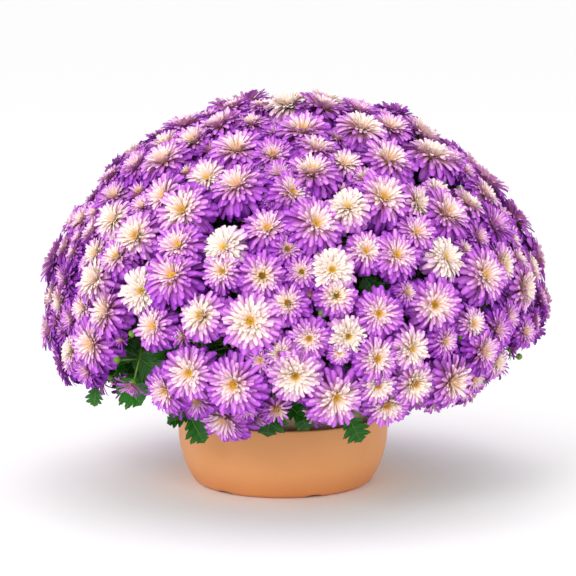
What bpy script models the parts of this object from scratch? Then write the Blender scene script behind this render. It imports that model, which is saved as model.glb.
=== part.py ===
"""A pot chrysanthemum: leafy shoots in a grow pot, which stands in a terracotta-coloured bowl.

Each shoot stands in its own hole in the potting mix and is one green piece with its leaves.
A spray sits on top of it: the shoot's last stretch of stem with its flower stalks and blooms.
Together the sprays cover a dome. Lengths are metres, +Z is up, and the origin is the middle
of the circle that the bowl stands on.
"""

import math

import bmesh
import bpy
import numpy as np
from mathutils import Matrix, Vector
from mathutils.bvhtree import BVHTree

SEED = 11
FIT = 0.0003  # the gap between pieces that touch
WELD = 0.00001

# Bowl
BOWL_HEIGHT = 0.071
BOWL_RIM_RADIUS = 0.106
BOWL_FOOT_RADIUS = 0.088
BOWL_ROUNDNESS = 2.9
BOWL_WALL = 0.003
BOWL_FLOOR = 0.0045
BOWL_STEPS = 32
NOTCHES = 6
NOTCH_WIDTH = 0.018
NOTCH_DEPTH = 0.010
NOTCH_FLATNESS = 0.32
NOTCH_FIRST_ANGLE = math.radians(-70)

# Grow pot and potting mix
GROW_POT_TOP = 0.085
GROW_POT_RIM_RADIUS = 0.0965
GROW_POT_BASE_RADIUS = 0.078
GROW_POT_WALL = 0.0016
GROW_POT_LIP_WIDTH = 0.0022
GROW_POT_LIP_HEIGHT = 0.006
GROW_POT_STEPS = 24
MIX_EDGE_TOP = 0.076
MIX_MIDDLE_TOP = 0.081
MIX_STEPS = 18

# Crown: the dome that the blooms sit on
CROWN_OFFSET = 0.0115  # the crown is heavier on its +X side
CROWN_RADIUS = 0.243
CROWN_WIDEST_HEIGHT = 0.168
CROWN_RISE = 0.212
CROWN_DROP = 0.088
CROWN_UPPER_POWER = 1.97
CROWN_LOWER_POWER = 2.5
CROWN_END_ANGLE = math.radians(139)
CROWN_SAMPLES = 800

# Blooms
BLOOM_COUNT = 318
BLOOM_COVER = 0.81
BLOOM_SIZE_SPREAD = (0.70, 1.22)
BLOOM_GAP = 0.0016
BLOOM_HEIGHT_JITTER = 0.003
BLOOM_TILT = 0.13
LARGE_BLOOM = 0.0250  # above this radius a bloom has six petals to a ring, then five, four and three
MIDDLE_BLOOM = 0.0180
SMALL_BLOOM = 0.0100
SETTLE_ROUNDS = 260
FIT_ROUNDS = 80
SITE_CLEARANCE = 0.008
WINDOW_MARGIN = 0.012  # how near a window a loose bloom's eye may stand, as the front view shows it
SOLID_SHARE = 0.85
NARROWEST = 0.66
LARGEST_REACH = 0.0285
BLOOM_RISE = 0.35
STALK_RADIUS = 0.0010
CALYX_LENGTH = 0.0024

# The front view that the next two lists use: seen from this far away and this far above level, with
# across measured from the bowl's axis and up from the table, in the upright plane through that axis
VIEW_DISTANCE = 2.4
VIEW_ELEVATION = math.radians(9)
VIEW_AIM = (0.005, 0.198)
VIEW_AIM_UP = 0.193
VIEW_TURNS = 461
VIEW_LAST_TURN = math.radians(115)
VIEW_LIMB = -0.12
EYE_HEIGHT = 0.006

# Blooms that the front view shows: across and up to the eye, reach of the petals, in millimetres
FRONT_BLOOMS = [
    (19, 385, 10), (-115, 357, 12), (-100, 356, 17), (-77, 368, 12), (-63, 355, 21), (-50, 372, 14),
    (-34, 358, 14), (-21, 374, 12), (-7, 350, 11), (6, 373, 18), (39, 370, 18), (77, 369, 16),
    (102, 369, 11), (109, 353, 17), (120, 368, 12), (-123, 344, 14), (-91, 343, 16), (-47, 330, 21),
    (-11, 325, 17), (20, 347, 20), (34, 329, 19), (57, 346, 12), (79, 349, 20), (139, 346, 18),
    (164, 335, 12), (-171, 311, 14), (-146, 313, 16), (-120, 319, 22), (-78, 305, 18), (-26, 309, 9),
    (-3, 306, 16), (29, 306, 22), (62, 318, 18), (81, 324, 11), (84, 302, 14), (106, 318, 21),
    (149, 323, 20), (167, 321, 14), (183, 311, 12), (-174, 285, 14), (-121, 283, 20), (-46, 294, 27),
    (-15, 283, 9), (9, 288, 19), (30, 284, 9), (101, 280, 24), (135, 275, 17), (157, 290, 12),
    (190, 278, 15), (205, 286, 14), (223, 275, 12), (-194, 250, 14), (-191, 269, 12), (-171, 259, 17),
    (-143, 274, 14), (-103, 270, 26), (-15, 251, 22), (33, 254, 26), (65, 271, 19), (166, 266, 22),
    (215, 255, 18), (-213, 226, 14), (-208, 241, 14), (-190, 225, 13), (-171, 243, 13), (-148, 243, 20),
    (-106, 232, 22), (-61, 232, 20), (4, 231, 17), (85, 229, 19), (187, 230, 10), (199, 243, 14),
    (233, 243, 12), (-203, 215, 9), (-167, 221, 17), (-110, 202, 25), (-63, 208, 19), (-21, 202, 21),
    (20, 207, 16), (51, 208, 20), (114, 223, 21), (164, 221, 19), (201, 203, 24), (238, 219, 14),
    (-227, 177, 13), (-223, 198, 14), (-190, 198, 19), (-145, 187, 20), (54, 183, 19), (129, 187, 12),
    (243, 191, 17), (262, 179, 13), (-205, 170, 13), (-178, 165, 21), (-133, 151, 20), (-82, 161, 21),
    (-32, 156, 27), (6, 174, 18), (97, 164, 21), (155, 173, 23), (195, 153, 15), (232, 160, 14),
    (255, 156, 11), (-240, 148, 15), (-195, 133, 28), (27, 138, 19), (68, 141, 18), (129, 128, 19),
    (164, 136, 15), (201, 126, 18), (-222, 111, 16), (-197, 105, 12), (-96, 102, 22), (-23, 115, 14),
    (-2, 122, 18), (13, 100, 24), (57, 123, 11), (95, 118, 20), (-118, 83, 17), (-49, 91, 27), (53, 78, 27),
    (132, 92, 18), (170, 94, 26), (195, 93, 11), (-88, 69, 13), (-58, 56, 22), (104, 70, 16), (-28, 49, 11),
]
# Gaps in the dome where leaves show in the front view: across, up, radius, in millimetres
FRONT_WINDOWS = [
    (-142, 115, 25), (-155, 89, 13), (-6, 73, 17), (80, 69, 10), (86, 193, 13), (121, 179, 12),
    (184, 136, 12), (218, 174, 9), (-66, 130, 9), (-44, 187, 8), (-165, 72, 22), (-135, 66, 18),
    (-108, 58, 16), (5, 46, 14), (54, 46, 14), (90, 50, 15), (130, 58, 22), (172, 66, 22),
]
# Gaps at the sides: turn from the front in degrees, height, radius
SIDE_WINDOWS = [(64, 0.118, 0.042), (83, 0.129, 0.046), (102, 0.125, 0.046), (-82, 0.100, 0.028)]

# Sprays and shoots
SPRAY_COUNT = 20
SPRAY_DEPTH = 0.078
SPRAY_TOP_DEPTH = 0.030
SPRAY_STEM_RADIUS = 0.0032
SHOOT_RADIUS = 0.0030
SHOOT_SPREAD = 0.076
SHOOT_HOLE_DEPTH = 0.030
STEM_HOLE_RADIUS = 0.0042
SHOOT_POINTS = 3
SHOOT_STRAIGHT_END = 0.006

# Leaves
LEAF_THICKNESS = 0.0010
LEAF_WIDTH_SHARE = 0.36

GOLDEN_ANGLE = math.pi * (3 - math.sqrt(5))
COLOURS = {
    "bowl": (0.66, 0.32, 0.14),
    "grow_pot": (0.52, 0.45, 0.38),
    "potting_mix": (0.045, 0.030, 0.020),
    "leaf": (0.020, 0.105, 0.012),
    "petal": (0.56, 0.25, 0.72),
}


def clear_scene():
    for old in list(bpy.data.objects):
        bpy.data.objects.remove(old, do_unlink=True)


def collection(name):
    made = bpy.data.collections.new(name)
    bpy.context.scene.collection.children.link(made)
    return made


def material(name, roughness):
    made = bpy.data.materials.new(name)
    made.use_nodes = True
    shader = made.node_tree.nodes["Principled BSDF"]
    shader.inputs["Base Color"].default_value = (*COLOURS[name], 1)
    shader.inputs["Roughness"].default_value = roughness
    shader.inputs["Metallic"].default_value = 0
    return made


def add_object(name, mesh, group, finish=None):
    made = bpy.data.objects.new(name, mesh)
    group.objects.link(made)
    if finish:
        mesh.materials.clear()
        mesh.materials.append(finish)
    return made


def mesh_from(name, points, faces):
    """A mesh of these points and faces, with its normals turned outwards."""
    mesh = bpy.data.meshes.new(name)
    mesh.from_pydata([tuple(p) for p in points], [], faces)
    work = bmesh.new()
    work.from_mesh(mesh)
    bmesh.ops.recalc_face_normals(work, faces=work.faces)
    work.to_mesh(mesh)
    work.free()
    return mesh


def turned(name, profile, steps, group, finish):
    """The solid that an (r, z) profile makes round Z; it runs down on its outer side."""
    mesh = bpy.data.meshes.new(name)
    points = [(r, 0, z) for r, z in profile]
    mesh.from_pydata(points, [(i, i + 1) for i in range(len(points) - 1)], [])
    made = add_object(name, mesh, group, finish)
    screw = made.modifiers.new("Turn", "SCREW")
    screw.steps = steps
    screw.render_steps = steps
    screw.use_merge_vertices = True
    screw.merge_threshold = WELD
    screw.use_smooth_shade = True
    return made


def cut(target, cutters):
    boolean = target.modifiers.new("Cut", "BOOLEAN")
    boolean.operation = "DIFFERENCE"
    boolean.operand_type = "COLLECTION"
    boolean.collection = cutters
    boolean.solver = "EXACT"


def prism(name, start, end, radii, sides, group, finish=None):
    """A closed straight prism from start to end that may taper."""
    work = bmesh.new()
    along = end - start
    place = Matrix.Translation((start + end) / 2) @ along.to_track_quat("Z", "Y").to_matrix().to_4x4()
    bmesh.ops.create_cone(
        work,
        cap_ends=True,
        segments=sides,
        radius1=radii[0],
        radius2=radii[1],
        depth=along.length,
        matrix=place,
    )
    mesh = bpy.data.meshes.new(name)
    work.to_mesh(mesh)
    work.free()
    return add_object(name, mesh, group, finish)


def as_cutter(made):
    """Marks a helper that cuts and isn't part of the object."""
    made.hide_render = True
    made.display_type = "WIRE"
    return made


def evaluated_mesh(made):
    """The object's mesh with its modifiers applied."""
    graph = bpy.context.evaluated_depsgraph_get()
    return bpy.data.meshes.new_from_object(made.evaluated_get(graph))


def weld(mesh):
    """Merges the doubles that a curve's caps leave."""
    work = bmesh.new()
    work.from_mesh(mesh)
    bmesh.ops.remove_doubles(work, verts=work.verts, dist=WELD)
    work.to_mesh(mesh)
    work.free()
    return mesh


def fuse(base, repeats):
    """Joins a collection of closed pieces to base in one union, and removes them."""
    boolean = base.modifiers.new("Fuse", "BOOLEAN")
    boolean.operation = "UNION"
    boolean.operand_type = "COLLECTION"
    boolean.collection = repeats
    boolean.solver = "EXACT"
    finish = base.data.materials[0]
    mesh = evaluated_mesh(base)
    mesh.materials.clear()
    mesh.materials.append(finish)
    base.modifiers.clear()
    base.data = mesh
    for piece in list(repeats.objects):
        bpy.data.objects.remove(piece, do_unlink=True)
    bpy.data.collections.remove(repeats)


def tube(name, points, radii, group, finish):
    """A four-sided stem along points, made a closed mesh."""
    curve = bpy.data.curves.new(name, "CURVE")
    curve.dimensions = "3D"
    curve.bevel_depth = 1
    curve.bevel_resolution = 0
    curve.use_fill_caps = True
    spline = curve.splines.new("POLY")
    spline.points.add(len(points) - 1)
    for target, place, radius in zip(spline.points, points, radii):
        target.co = (*place, 1)
        target.radius = radius
    guide = add_object(name + "_line", curve, group)
    mesh = weld(evaluated_mesh(guide))
    bpy.data.objects.remove(guide, do_unlink=True)
    return add_object(name, mesh, group, finish)


def bowl_wall_radius(height):
    """Outer radius of the bowl, full at the rim and drawn in towards the foot."""
    below_rim = 1 - height / BOWL_HEIGHT
    return BOWL_RIM_RADIUS - (BOWL_RIM_RADIUS - BOWL_FOOT_RADIUS) * below_rim**BOWL_ROUNDNESS


def make_bowl(group, helpers):
    lip = BOWL_WALL / 3
    inner_levels = (BOWL_FLOOR + 0.004, 0.030)
    outer_levels = (0.050, 0.030, 0.016, 0.006)
    inside = [(bowl_wall_radius(z) - BOWL_WALL, z) for z in inner_levels]
    outside = [(bowl_wall_radius(z), z) for z in outer_levels]
    foot = BOWL_FOOT_RADIUS - 0.003
    profile = [(0, BOWL_FLOOR), (inside[0][0] - 0.004, BOWL_FLOOR)]
    profile += inside
    profile += [
        (BOWL_RIM_RADIUS - BOWL_WALL, BOWL_HEIGHT - lip),
        (BOWL_RIM_RADIUS - BOWL_WALL / 2, BOWL_HEIGHT),
        (BOWL_RIM_RADIUS, BOWL_HEIGHT - lip),
    ]
    profile += outside
    profile += [(foot, 0), (0, 0)]
    bowl = turned("bowl", profile, BOWL_STEPS, group, material("bowl", 0.55))
    for i in range(NOTCHES):
        angle = NOTCH_FIRST_ANGLE + i * math.tau / NOTCHES
        out = Vector((math.cos(angle), math.sin(angle), 0))
        width = (NOTCH_WIDTH / 2, NOTCH_WIDTH / 2)
        notch = prism(f"notch_{i}", out * (foot - NOTCH_DEPTH), out * (foot + NOTCH_DEPTH), width, 8, helpers)
        notch.data.transform(Matrix.Diagonal((1, 1, NOTCH_FLATNESS, 1)))
        as_cutter(notch)
    cut(bowl, helpers)


def grow_pot_radius(height):
    """Outer radius of the grow pot, a straight taper from base to rim."""
    share = (height - BOWL_FLOOR - FIT) / (GROW_POT_TOP - BOWL_FLOOR - FIT)
    return GROW_POT_BASE_RADIUS + share * (GROW_POT_RIM_RADIUS - GROW_POT_LIP_WIDTH - GROW_POT_BASE_RADIUS)


def make_grow_pot(group):
    base = BOWL_FLOOR + FIT
    floor = base + GROW_POT_WALL
    lip_foot = GROW_POT_TOP - GROW_POT_LIP_HEIGHT
    profile = [
        (0, floor),
        (grow_pot_radius(floor) - GROW_POT_WALL, floor),
        (grow_pot_radius(GROW_POT_TOP) - GROW_POT_WALL, GROW_POT_TOP),
        (GROW_POT_RIM_RADIUS, GROW_POT_TOP),
        (GROW_POT_RIM_RADIUS, lip_foot),
        (grow_pot_radius(lip_foot), lip_foot),
        (grow_pot_radius(base), base),
        (0, base),
    ]
    turned("grow_pot", profile, GROW_POT_STEPS, group, material("grow_pot", 0.6))


def make_mix(group, holes):
    """The potting mix fills the grow pot and is a little higher in the middle."""
    floor = BOWL_FLOOR + FIT + GROW_POT_WALL + FIT
    gap = GROW_POT_WALL + 3 * FIT  # its facets are fewer than the pot's
    profile = [
        (0, MIX_MIDDLE_TOP),
        (grow_pot_radius(MIX_EDGE_TOP) * 0.6, MIX_MIDDLE_TOP - 0.001),
        (grow_pot_radius(MIX_EDGE_TOP) - gap, MIX_EDGE_TOP),
        (grow_pot_radius(floor) - gap, floor),
        (0, floor),
    ]
    mix = turned("potting_mix", profile, MIX_STEPS, group, material("potting_mix", 0.95))
    cut(mix, holes)


def crown_profile():
    """Samples of the dome from its top outwards and down: radius, height, area inside, normal."""
    angle = np.linspace(0, CROWN_END_ANGLE, CROWN_SAMPLES)
    upper = angle <= math.pi / 2
    power = np.where(upper, 2 / CROWN_UPPER_POWER, 2 / CROWN_LOWER_POWER)
    height = np.where(upper, CROWN_RISE, -CROWN_DROP)
    radius = CROWN_RADIUS * np.sin(angle) ** power
    level = CROWN_WIDEST_HEIGHT + height * np.abs(np.cos(angle)) ** power
    step = np.hypot(np.diff(radius), np.diff(level))
    ring = math.pi * (radius[1:] + radius[:-1]) * step
    area = np.concatenate([[0], np.cumsum(ring)])
    across = np.gradient(radius)
    down = np.gradient(level)
    length = np.hypot(across, down)
    return radius, level, area, -down / length, across / length


class Crown:
    """The dome that the blooms sit on."""

    def __init__(self):
        self.radius, self.level, self.area, self.normal_r, self.normal_z = crown_profile()

    def spiral(self, count):
        """Points spread evenly over the dome in a sunflower spiral."""
        share = (np.arange(count) + 0.5) / count * self.area[-1]
        turn = np.arange(count) * GOLDEN_ANGLE
        radius = np.interp(share, self.area, self.radius)
        level = np.interp(share, self.area, self.level)
        return np.stack([radius * np.cos(turn) + CROWN_OFFSET, radius * np.sin(turn), level], 1)

    def nearest(self, points):
        """The dome's sample nearest to each point, and the point's turn round the dome's axis."""
        across = points[:, 0] - CROWN_OFFSET
        radius = np.hypot(across, points[:, 1])
        distance = (radius[:, None] - self.radius) ** 2 + (points[:, 2:] - self.level) ** 2
        return distance.argmin(1), np.arctan2(points[:, 1], across)

    def settle(self, points):
        """Moves each point onto the dome."""
        index, turn = self.nearest(points)
        radius = self.radius[index]
        return np.stack([radius * np.cos(turn) + CROWN_OFFSET, radius * np.sin(turn), self.level[index]], 1)

    def normals(self, points):
        index, turn = self.nearest(points)
        outward = self.normal_r[index]
        return np.stack([outward * np.cos(turn), outward * np.sin(turn), self.normal_z[index]], 1)


def apart(points):
    """Offset and distance from each point to each other; a point is far from itself."""
    offset = points[:, None] - points[None]
    distance = np.linalg.norm(offset, axis=2) + np.eye(len(points))
    return offset, distance


def on_crown(crown, turn, height):
    """The dome's point at this turn from the front, which is -Y, and this height."""
    radius = np.interp(-height, -crown.level, crown.radius)
    turn = math.radians(turn)
    return (radius * math.sin(turn) + CROWN_OFFSET, -radius * math.cos(turn), height)


def in_front_view(points):
    """Across and up, and the direction to the viewer, of points in the front view."""
    ahead = np.array([0, math.cos(VIEW_ELEVATION), -math.sin(VIEW_ELEVATION)])
    upward = np.array([0, math.sin(VIEW_ELEVATION), math.cos(VIEW_ELEVATION)])
    viewer = np.array([VIEW_AIM[0], 0, VIEW_AIM[1]]) - VIEW_DISTANCE * ahead
    sight = points - viewer
    scale = VIEW_DISTANCE / (sight @ ahead)
    return VIEW_AIM[0] + scale * sight[..., 0], VIEW_AIM_UP + scale * (sight @ upward), -sight


def from_front_view(crown, marks):
    """The dome's points, on the near side, whose lifted eyes the front view shows at these marks."""
    turn, index = np.meshgrid(np.linspace(-VIEW_LAST_TURN, VIEW_LAST_TURN, VIEW_TURNS), np.arange(CROWN_SAMPLES))
    turn, index = turn.ravel(), index.ravel()
    aside, forward = np.sin(turn), -np.cos(turn)
    radius, outward = crown.radius[index], crown.normal_r[index]
    points = np.stack([radius * aside + CROWN_OFFSET, radius * forward, crown.level[index]], 1)
    normals = np.stack([outward * aside, outward * forward, crown.normal_z[index]], 1)
    across, up, to_viewer = in_front_view(points + EYE_HEIGHT * normals)
    near = (normals * to_viewer).sum(1) > VIEW_LIMB * VIEW_DISTANCE
    points, across, up = points[near], across[near], up[near]
    return np.array([points[np.hypot(across - a / 1000, up - u / 1000).argmin()] for a, u, _ in marks])


def spread_blooms(crown, random):
    """Places, petal reach and solid radii: blooms of unlike sizes that push each other over the dome.

    The front blooms and the windows keep their places, and a loose bloom that the front view
    would show in a window goes.
    """
    marks = np.array(FRONT_BLOOMS + FRONT_WINDOWS)
    side = [on_crown(crown, turn, height) for turn, height, _ in SIDE_WINDOWS]
    fixed = np.concatenate([from_front_view(crown, marks), side])
    reach = np.concatenate([marks[:, 2] / 1000, [size for _, _, size in SIDE_WINDOWS]])
    bloom = np.arange(len(fixed)) < len(FRONT_BLOOMS)
    seen = (crown.normals(fixed) * in_front_view(fixed)[2]).sum(1) / VIEW_DISTANCE
    reach = np.where(bloom, np.minimum(reach / np.maximum((1 + seen) / 2, NARROWEST), LARGEST_REACH), reach)
    radii = np.where(bloom, SOLID_SHARE * reach, reach)

    loose = BLOOM_COUNT - len(FRONT_BLOOMS)
    sizes = random.uniform(*BLOOM_SIZE_SPREAD, loose)
    room = BLOOM_COVER * crown.area[-1] - math.pi * (radii**2).sum()
    sizes *= math.sqrt(room / (math.pi * (sizes**2).sum()))
    sites = crown.spiral(4 * loose)
    clear = (np.linalg.norm(sites[:, None] - fixed[None], axis=2) - radii).min(1) > SITE_CLEARANCE
    sites = sites[clear]
    sites = sites[np.linspace(0, len(sites) - 1, loose).round().astype(int)]

    radii = np.concatenate([radii, sizes])
    wanted = radii[:, None] + radii[None] + BLOOM_GAP
    points = np.concatenate([fixed, sites])
    for _ in range(SETTLE_ROUNDS):
        offset, distance = apart(points)
        push = np.clip(wanted - distance, 0, None) / distance
        np.fill_diagonal(push, 0)
        moved = crown.settle(points + 0.3 * (offset * push[:, :, None]).sum(1))
        points = np.concatenate([fixed, moved[len(fixed) :]])
    across, up, to_viewer = in_front_view(points)
    behind = (crown.normals(points) * to_viewer).sum(1) < VIEW_LIMB * VIEW_DISTANCE
    windows = np.array(FRONT_WINDOWS) / 1000
    from_windows = np.hypot(across[:, None] - windows[:, 0], up[:, None] - windows[:, 1]) - windows[:, 2]
    keep = behind | (from_windows > WINDOW_MARGIN).all(1)
    keep[: len(fixed)] = bloom
    points, radii = points[keep], radii[keep]
    return points, radii / SOLID_SHARE, fit_radii(points, radii)


def fit_radii(points, radii):
    """Radii that no longer overlap.

    A pair gives way in proportion to its sizes, and then each in turn takes back what is left.
    """
    _, distance = apart(points)
    np.fill_diagonal(distance, 1)
    wanted = radii.copy()
    for _ in range(FIT_ROUNDS):
        pair = radii[:, None] + radii[None]
        over = np.clip(pair + BLOOM_GAP - distance, 0, None)
        radii = radii - 0.5 * (over * radii[:, None] / pair).max(1)
    for k in np.argsort(-wanted):
        left = distance[k] - BLOOM_GAP - radii
        left[k] = 1
        radii[k] = min(wanted[k], left.min())
    return radii


def group_blooms(crown, points):
    """The spray that each bloom belongs to: the nearest of evenly spread spray middles."""
    middles = crown.spiral(SPRAY_COUNT)
    for _ in range(12):
        distance = np.linalg.norm(points[:, None] - middles[None], axis=2)
        owner = distance.argmin(1)
        middles = crown.settle(np.array([points[owner == k].mean(0) for k in range(SPRAY_COUNT)]))
    return owner, middles


def bloom_mesh(name, place, facing, spin, radius, root):
    """Two rings of petals round a sunk eye, on a calyx that narrows to a three-sided stalk.

    The outer ring runs tip, notch, tip; the inner petals stand over the notches. The stalk
    ends at root, inside the stem.
    """
    petals = 3 + sum(radius > least for least in (SMALL_BLOOM, MIDDLE_BLOOM, LARGE_BLOOM))
    turn = facing.to_track_quat("Z", "Y").to_matrix() @ Matrix.Rotation(spin, 3, "Z")
    half = math.pi / petals
    points = [place + turn @ Vector((0, 0, 0.10 * radius))]
    for k in range(petals):
        angle = (2 * k + 1) * half
        ring = 0.50 * radius
        points.append(place + turn @ Vector((ring * math.cos(angle), ring * math.sin(angle), 0.30 * radius)))
    for k in range(2 * petals):
        angle = k * half
        tip = k % 2 == 0
        ring = radius * (1 if tip else 0.84)
        lift = radius * (0.02 if tip else -0.08)
        points.append(place + turn @ Vector((ring * math.cos(angle), ring * math.sin(angle), lift)))
    outer, lower = 1 + petals, 1 + 3 * petals
    outward = turn @ Vector((0, 0, 1))
    calyx = place - (0.24 * radius + CALYX_LENGTH) * outward
    axis = ((calyx - root).normalized() + outward).normalized()
    side = points[outer + round(petals / 3)] - place
    side = (side - axis * side.dot(axis)).normalized()
    for centre, width in ((calyx, 1.5 * STALK_RADIUS), (root, STALK_RADIUS)):
        for k in range(3):
            points.append(centre + width * (Matrix.Rotation(k * math.tau / 3, 3, axis) @ side))
    faces = []
    for k in range(petals):
        inner, before = 1 + k, 1 + (k - 1) % petals
        tip, notch = outer + 2 * k, outer + 2 * k + 1
        after = outer + (2 * k + 2) % (2 * petals)
        faces += [(0, before, inner), (before, tip, inner), (inner, tip, notch), (inner, notch, after)]
    edges = 2 * petals
    for k in range(edges):
        part = k * 3 // edges
        here = lower + part
        faces.append((outer + k, outer + (k + 1) % edges, here))
        if ((k + 1) * 3 // edges) != part:
            step = lower + (part + 1) % 3
            faces.append((outer + (k + 1) % edges, step, here))
    for k in range(3):
        faces += [
            (lower + k, lower + (k + 1) % 3, lower + 3 + k),
            (lower + (k + 1) % 3, lower + 3 + (k + 1) % 3, lower + 3 + k),
        ]
    faces.append((lower + 3, lower + 4, lower + 5))
    return mesh_from(name, points, faces)


def facing_of(normal, jitter):
    """A bloom looks out along the dome's normal, but one underneath turns up to the light."""
    lifted = Vector((normal[0], normal[1], normal[2] if normal[2] > 0 else 0.25 * normal[2]))
    return (lifted.normalized() + BLOOM_TILT * Vector(jitter)).normalized()


def bezier(start, handle_a, handle_b, end, count):
    """Points along a cubic curve."""
    points = []
    for step in range(count):
        t = step / (count - 1)
        s = 1 - t
        points.append(s**3 * start + 3 * s * s * t * handle_a + 3 * s * t * t * handle_b + t**3 * end)
    return points


def make_spray(index, group, finish, middle, normal, blooms):
    """A stretch of stem with its flower stalks and blooms; outer stalks leave it lower down."""
    base = middle - normal * SPRAY_DEPTH
    top = middle - normal * SPRAY_TOP_DEPTH
    name = f"spray_{index + 1:02d}"
    stem = prism(name, base, top, (SPRAY_STEM_RADIUS, 0.85 * SPRAY_STEM_RADIUS), 3, group, finish)
    repeats = collection(name + "_blooms")
    reach = max((place - middle).length for place, *_ in blooms)
    for k, (place, facing, spin, radius) in enumerate(blooms):
        out = min(1, (place - middle).length / reach)
        root = base.lerp(top, 0.12 + 0.80 * (1 - out))
        add_object(f"{name}_{k}", bloom_mesh(name, place, facing, spin, radius, root), repeats)
    fuse(stem, repeats)


def leaf_outline(length):
    """One side of a chrysanthemum leaf: (along, out) from the foot of its stalk up to its tip.

    Two rounded lobes stand out on each side below the end lobe, with cuts between them.
    """
    width = LEAF_WIDTH_SHARE * length
    return [
        (0.0, 0.0013),
        (0.24 * length, 0.0016),
        (0.42 * length, 0.92 * width),
        (0.51 * length, 0.46 * width),
        (0.74 * length, 0.88 * width),
        (0.82 * length, 0.44 * width),
    ]


def leaf_mesh(name, root, heading, length, droop):
    """A folded, arched blade on a short flat stalk that starts inside the stem at root."""
    side = heading.cross(Vector((0, 0, 1))).normalized()
    up = side.cross(heading).normalized()

    def bent(along, out):
        share = along / length
        return root + heading * along + side * out + up * (0.25 * abs(out) - droop * length * share * share)

    half = leaf_outline(length)
    points = [bent(a, o) for a, o in half] + [bent(a, -o) for a, o in half]
    points += [bent(0.56 * length, 0), bent(length, 0)]
    count = len(half)
    middle, tip = 2 * count, 2 * count + 1
    faces = [(0, 1, count), (count, 1, count + 1), (1, middle, count + 1)]
    for k in range(1, count):
        after = k + 1 if k + 1 < count else tip
        mirrored = count + k + 1 if k + 1 < count else tip
        faces += [(k, after, middle), (count + k, middle, mirrored)]
    mesh = bpy.data.meshes.new(name)
    mesh.from_pydata([tuple(p) for p in points], [], faces)
    return mesh


def solid_leaf(name, mesh, group):
    """The open blade given its thickness and made a closed mesh."""
    blade = add_object(name, mesh, group)
    shell = blade.modifiers.new("Thickness", "SOLIDIFY")
    shell.thickness = LEAF_THICKNESS
    shell.offset = 0
    blade.data = evaluated_mesh(blade)
    blade.modifiers.clear()
    return blade


def tree_of(mesh):
    """A search tree of a mesh's faces, for telling whether pieces cross."""
    return BVHTree.FromPolygons([v.co.copy() for v in mesh.vertices], [tuple(p.vertices) for p in mesh.polygons])


def room_of(mesh):
    """A search tree of an open blade in three layers, as deep as its thickness and a gap on each side."""
    reach = LEAF_THICKNESS / 2 + 2 * FIT
    count = len(mesh.vertices)
    points = [v.co + layer * reach * v.normal for layer in (-1, 0, 1) for v in mesh.vertices]
    faces = [tuple(k * count + v for v in p.vertices) for k in range(3) for p in mesh.polygons]
    return BVHTree.FromPolygons(points, faces)


def shoot_path(middle, normal):
    """From its hole in the mix up to the base of its spray."""
    turn = math.atan2(middle.y, middle.x)
    share = (middle.xy.length / CROWN_RADIUS) ** 0.9
    if middle.z < CROWN_WIDEST_HEIGHT:
        share = 1.0
    start = Vector((math.cos(turn), math.sin(turn), 0)) * SHOOT_SPREAD * share
    start.z = MIX_MIDDLE_TOP - 0.001 - SHOOT_HOLE_DEPTH
    surface = start + Vector((0, 0, SHOOT_HOLE_DEPTH + 0.006))
    end = middle - normal * (SPRAY_DEPTH + FIT)
    straight = end - normal * SHOOT_STRAIGHT_END
    rise = (straight - surface).length
    handle_a = surface + Vector((0, 0, 0.35 * rise))
    handle_b = straight - normal * 0.30 * rise
    return [start] + bezier(surface, handle_a, handle_b, straight, SHOOT_POINTS) + [end]


def leaf_places(index, low):
    """Where the leaves leave the shoot: share of its length, turn from outward, droop and length."""
    if low:
        return [(0.58, -0.75, 0.55, 0.060), (0.66, 0.0, 0.70, 0.058), (0.54, 0.75, 0.55, 0.060)]
    return [(0.50, index * GOLDEN_ANGLE, 0.15, 0.062)]


def make_shoot(index, group, finish, path, low, standing):
    """A leafy shoot. A leaf that would cross a piece already standing is turned until it is clear."""
    name = f"shoot_{index + 1:02d}"
    radii = [SHOOT_RADIUS] * (len(path) - 1) + [0.85 * SHOOT_RADIUS]
    stem = tube(name, path, radii, group, finish)
    repeats = collection(name + "_leaves")
    outward = Vector((path[-1].x, path[-1].y, 0)).normalized()
    for k, (share, turn, droop, length) in enumerate(leaf_places(index, low)):
        at = share * (SHOOT_POINTS - 1) + 1
        step = int(at)
        root = path[step].lerp(path[step + 1], at - step)
        along = (path[step + 1] - path[step]).normalized()
        for attempt in range(24):
            swing = turn + (attempt + 1) // 2 * (0.26 if attempt % 2 else -0.26)
            level = Matrix.Rotation(swing, 3, "Z") @ outward
            heading = (level + (0.15 if low else 0.9) * along).normalized()
            mesh = leaf_mesh(f"{name}_leaf_{k}", root, heading, length, droop)
            tree = room_of(mesh)
            if not any(tree.overlap(other) for other in standing):
                standing.append(tree)
                solid_leaf(f"{name}_leaf_{k}", mesh, repeats)
                break
    fuse(stem, repeats)


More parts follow.
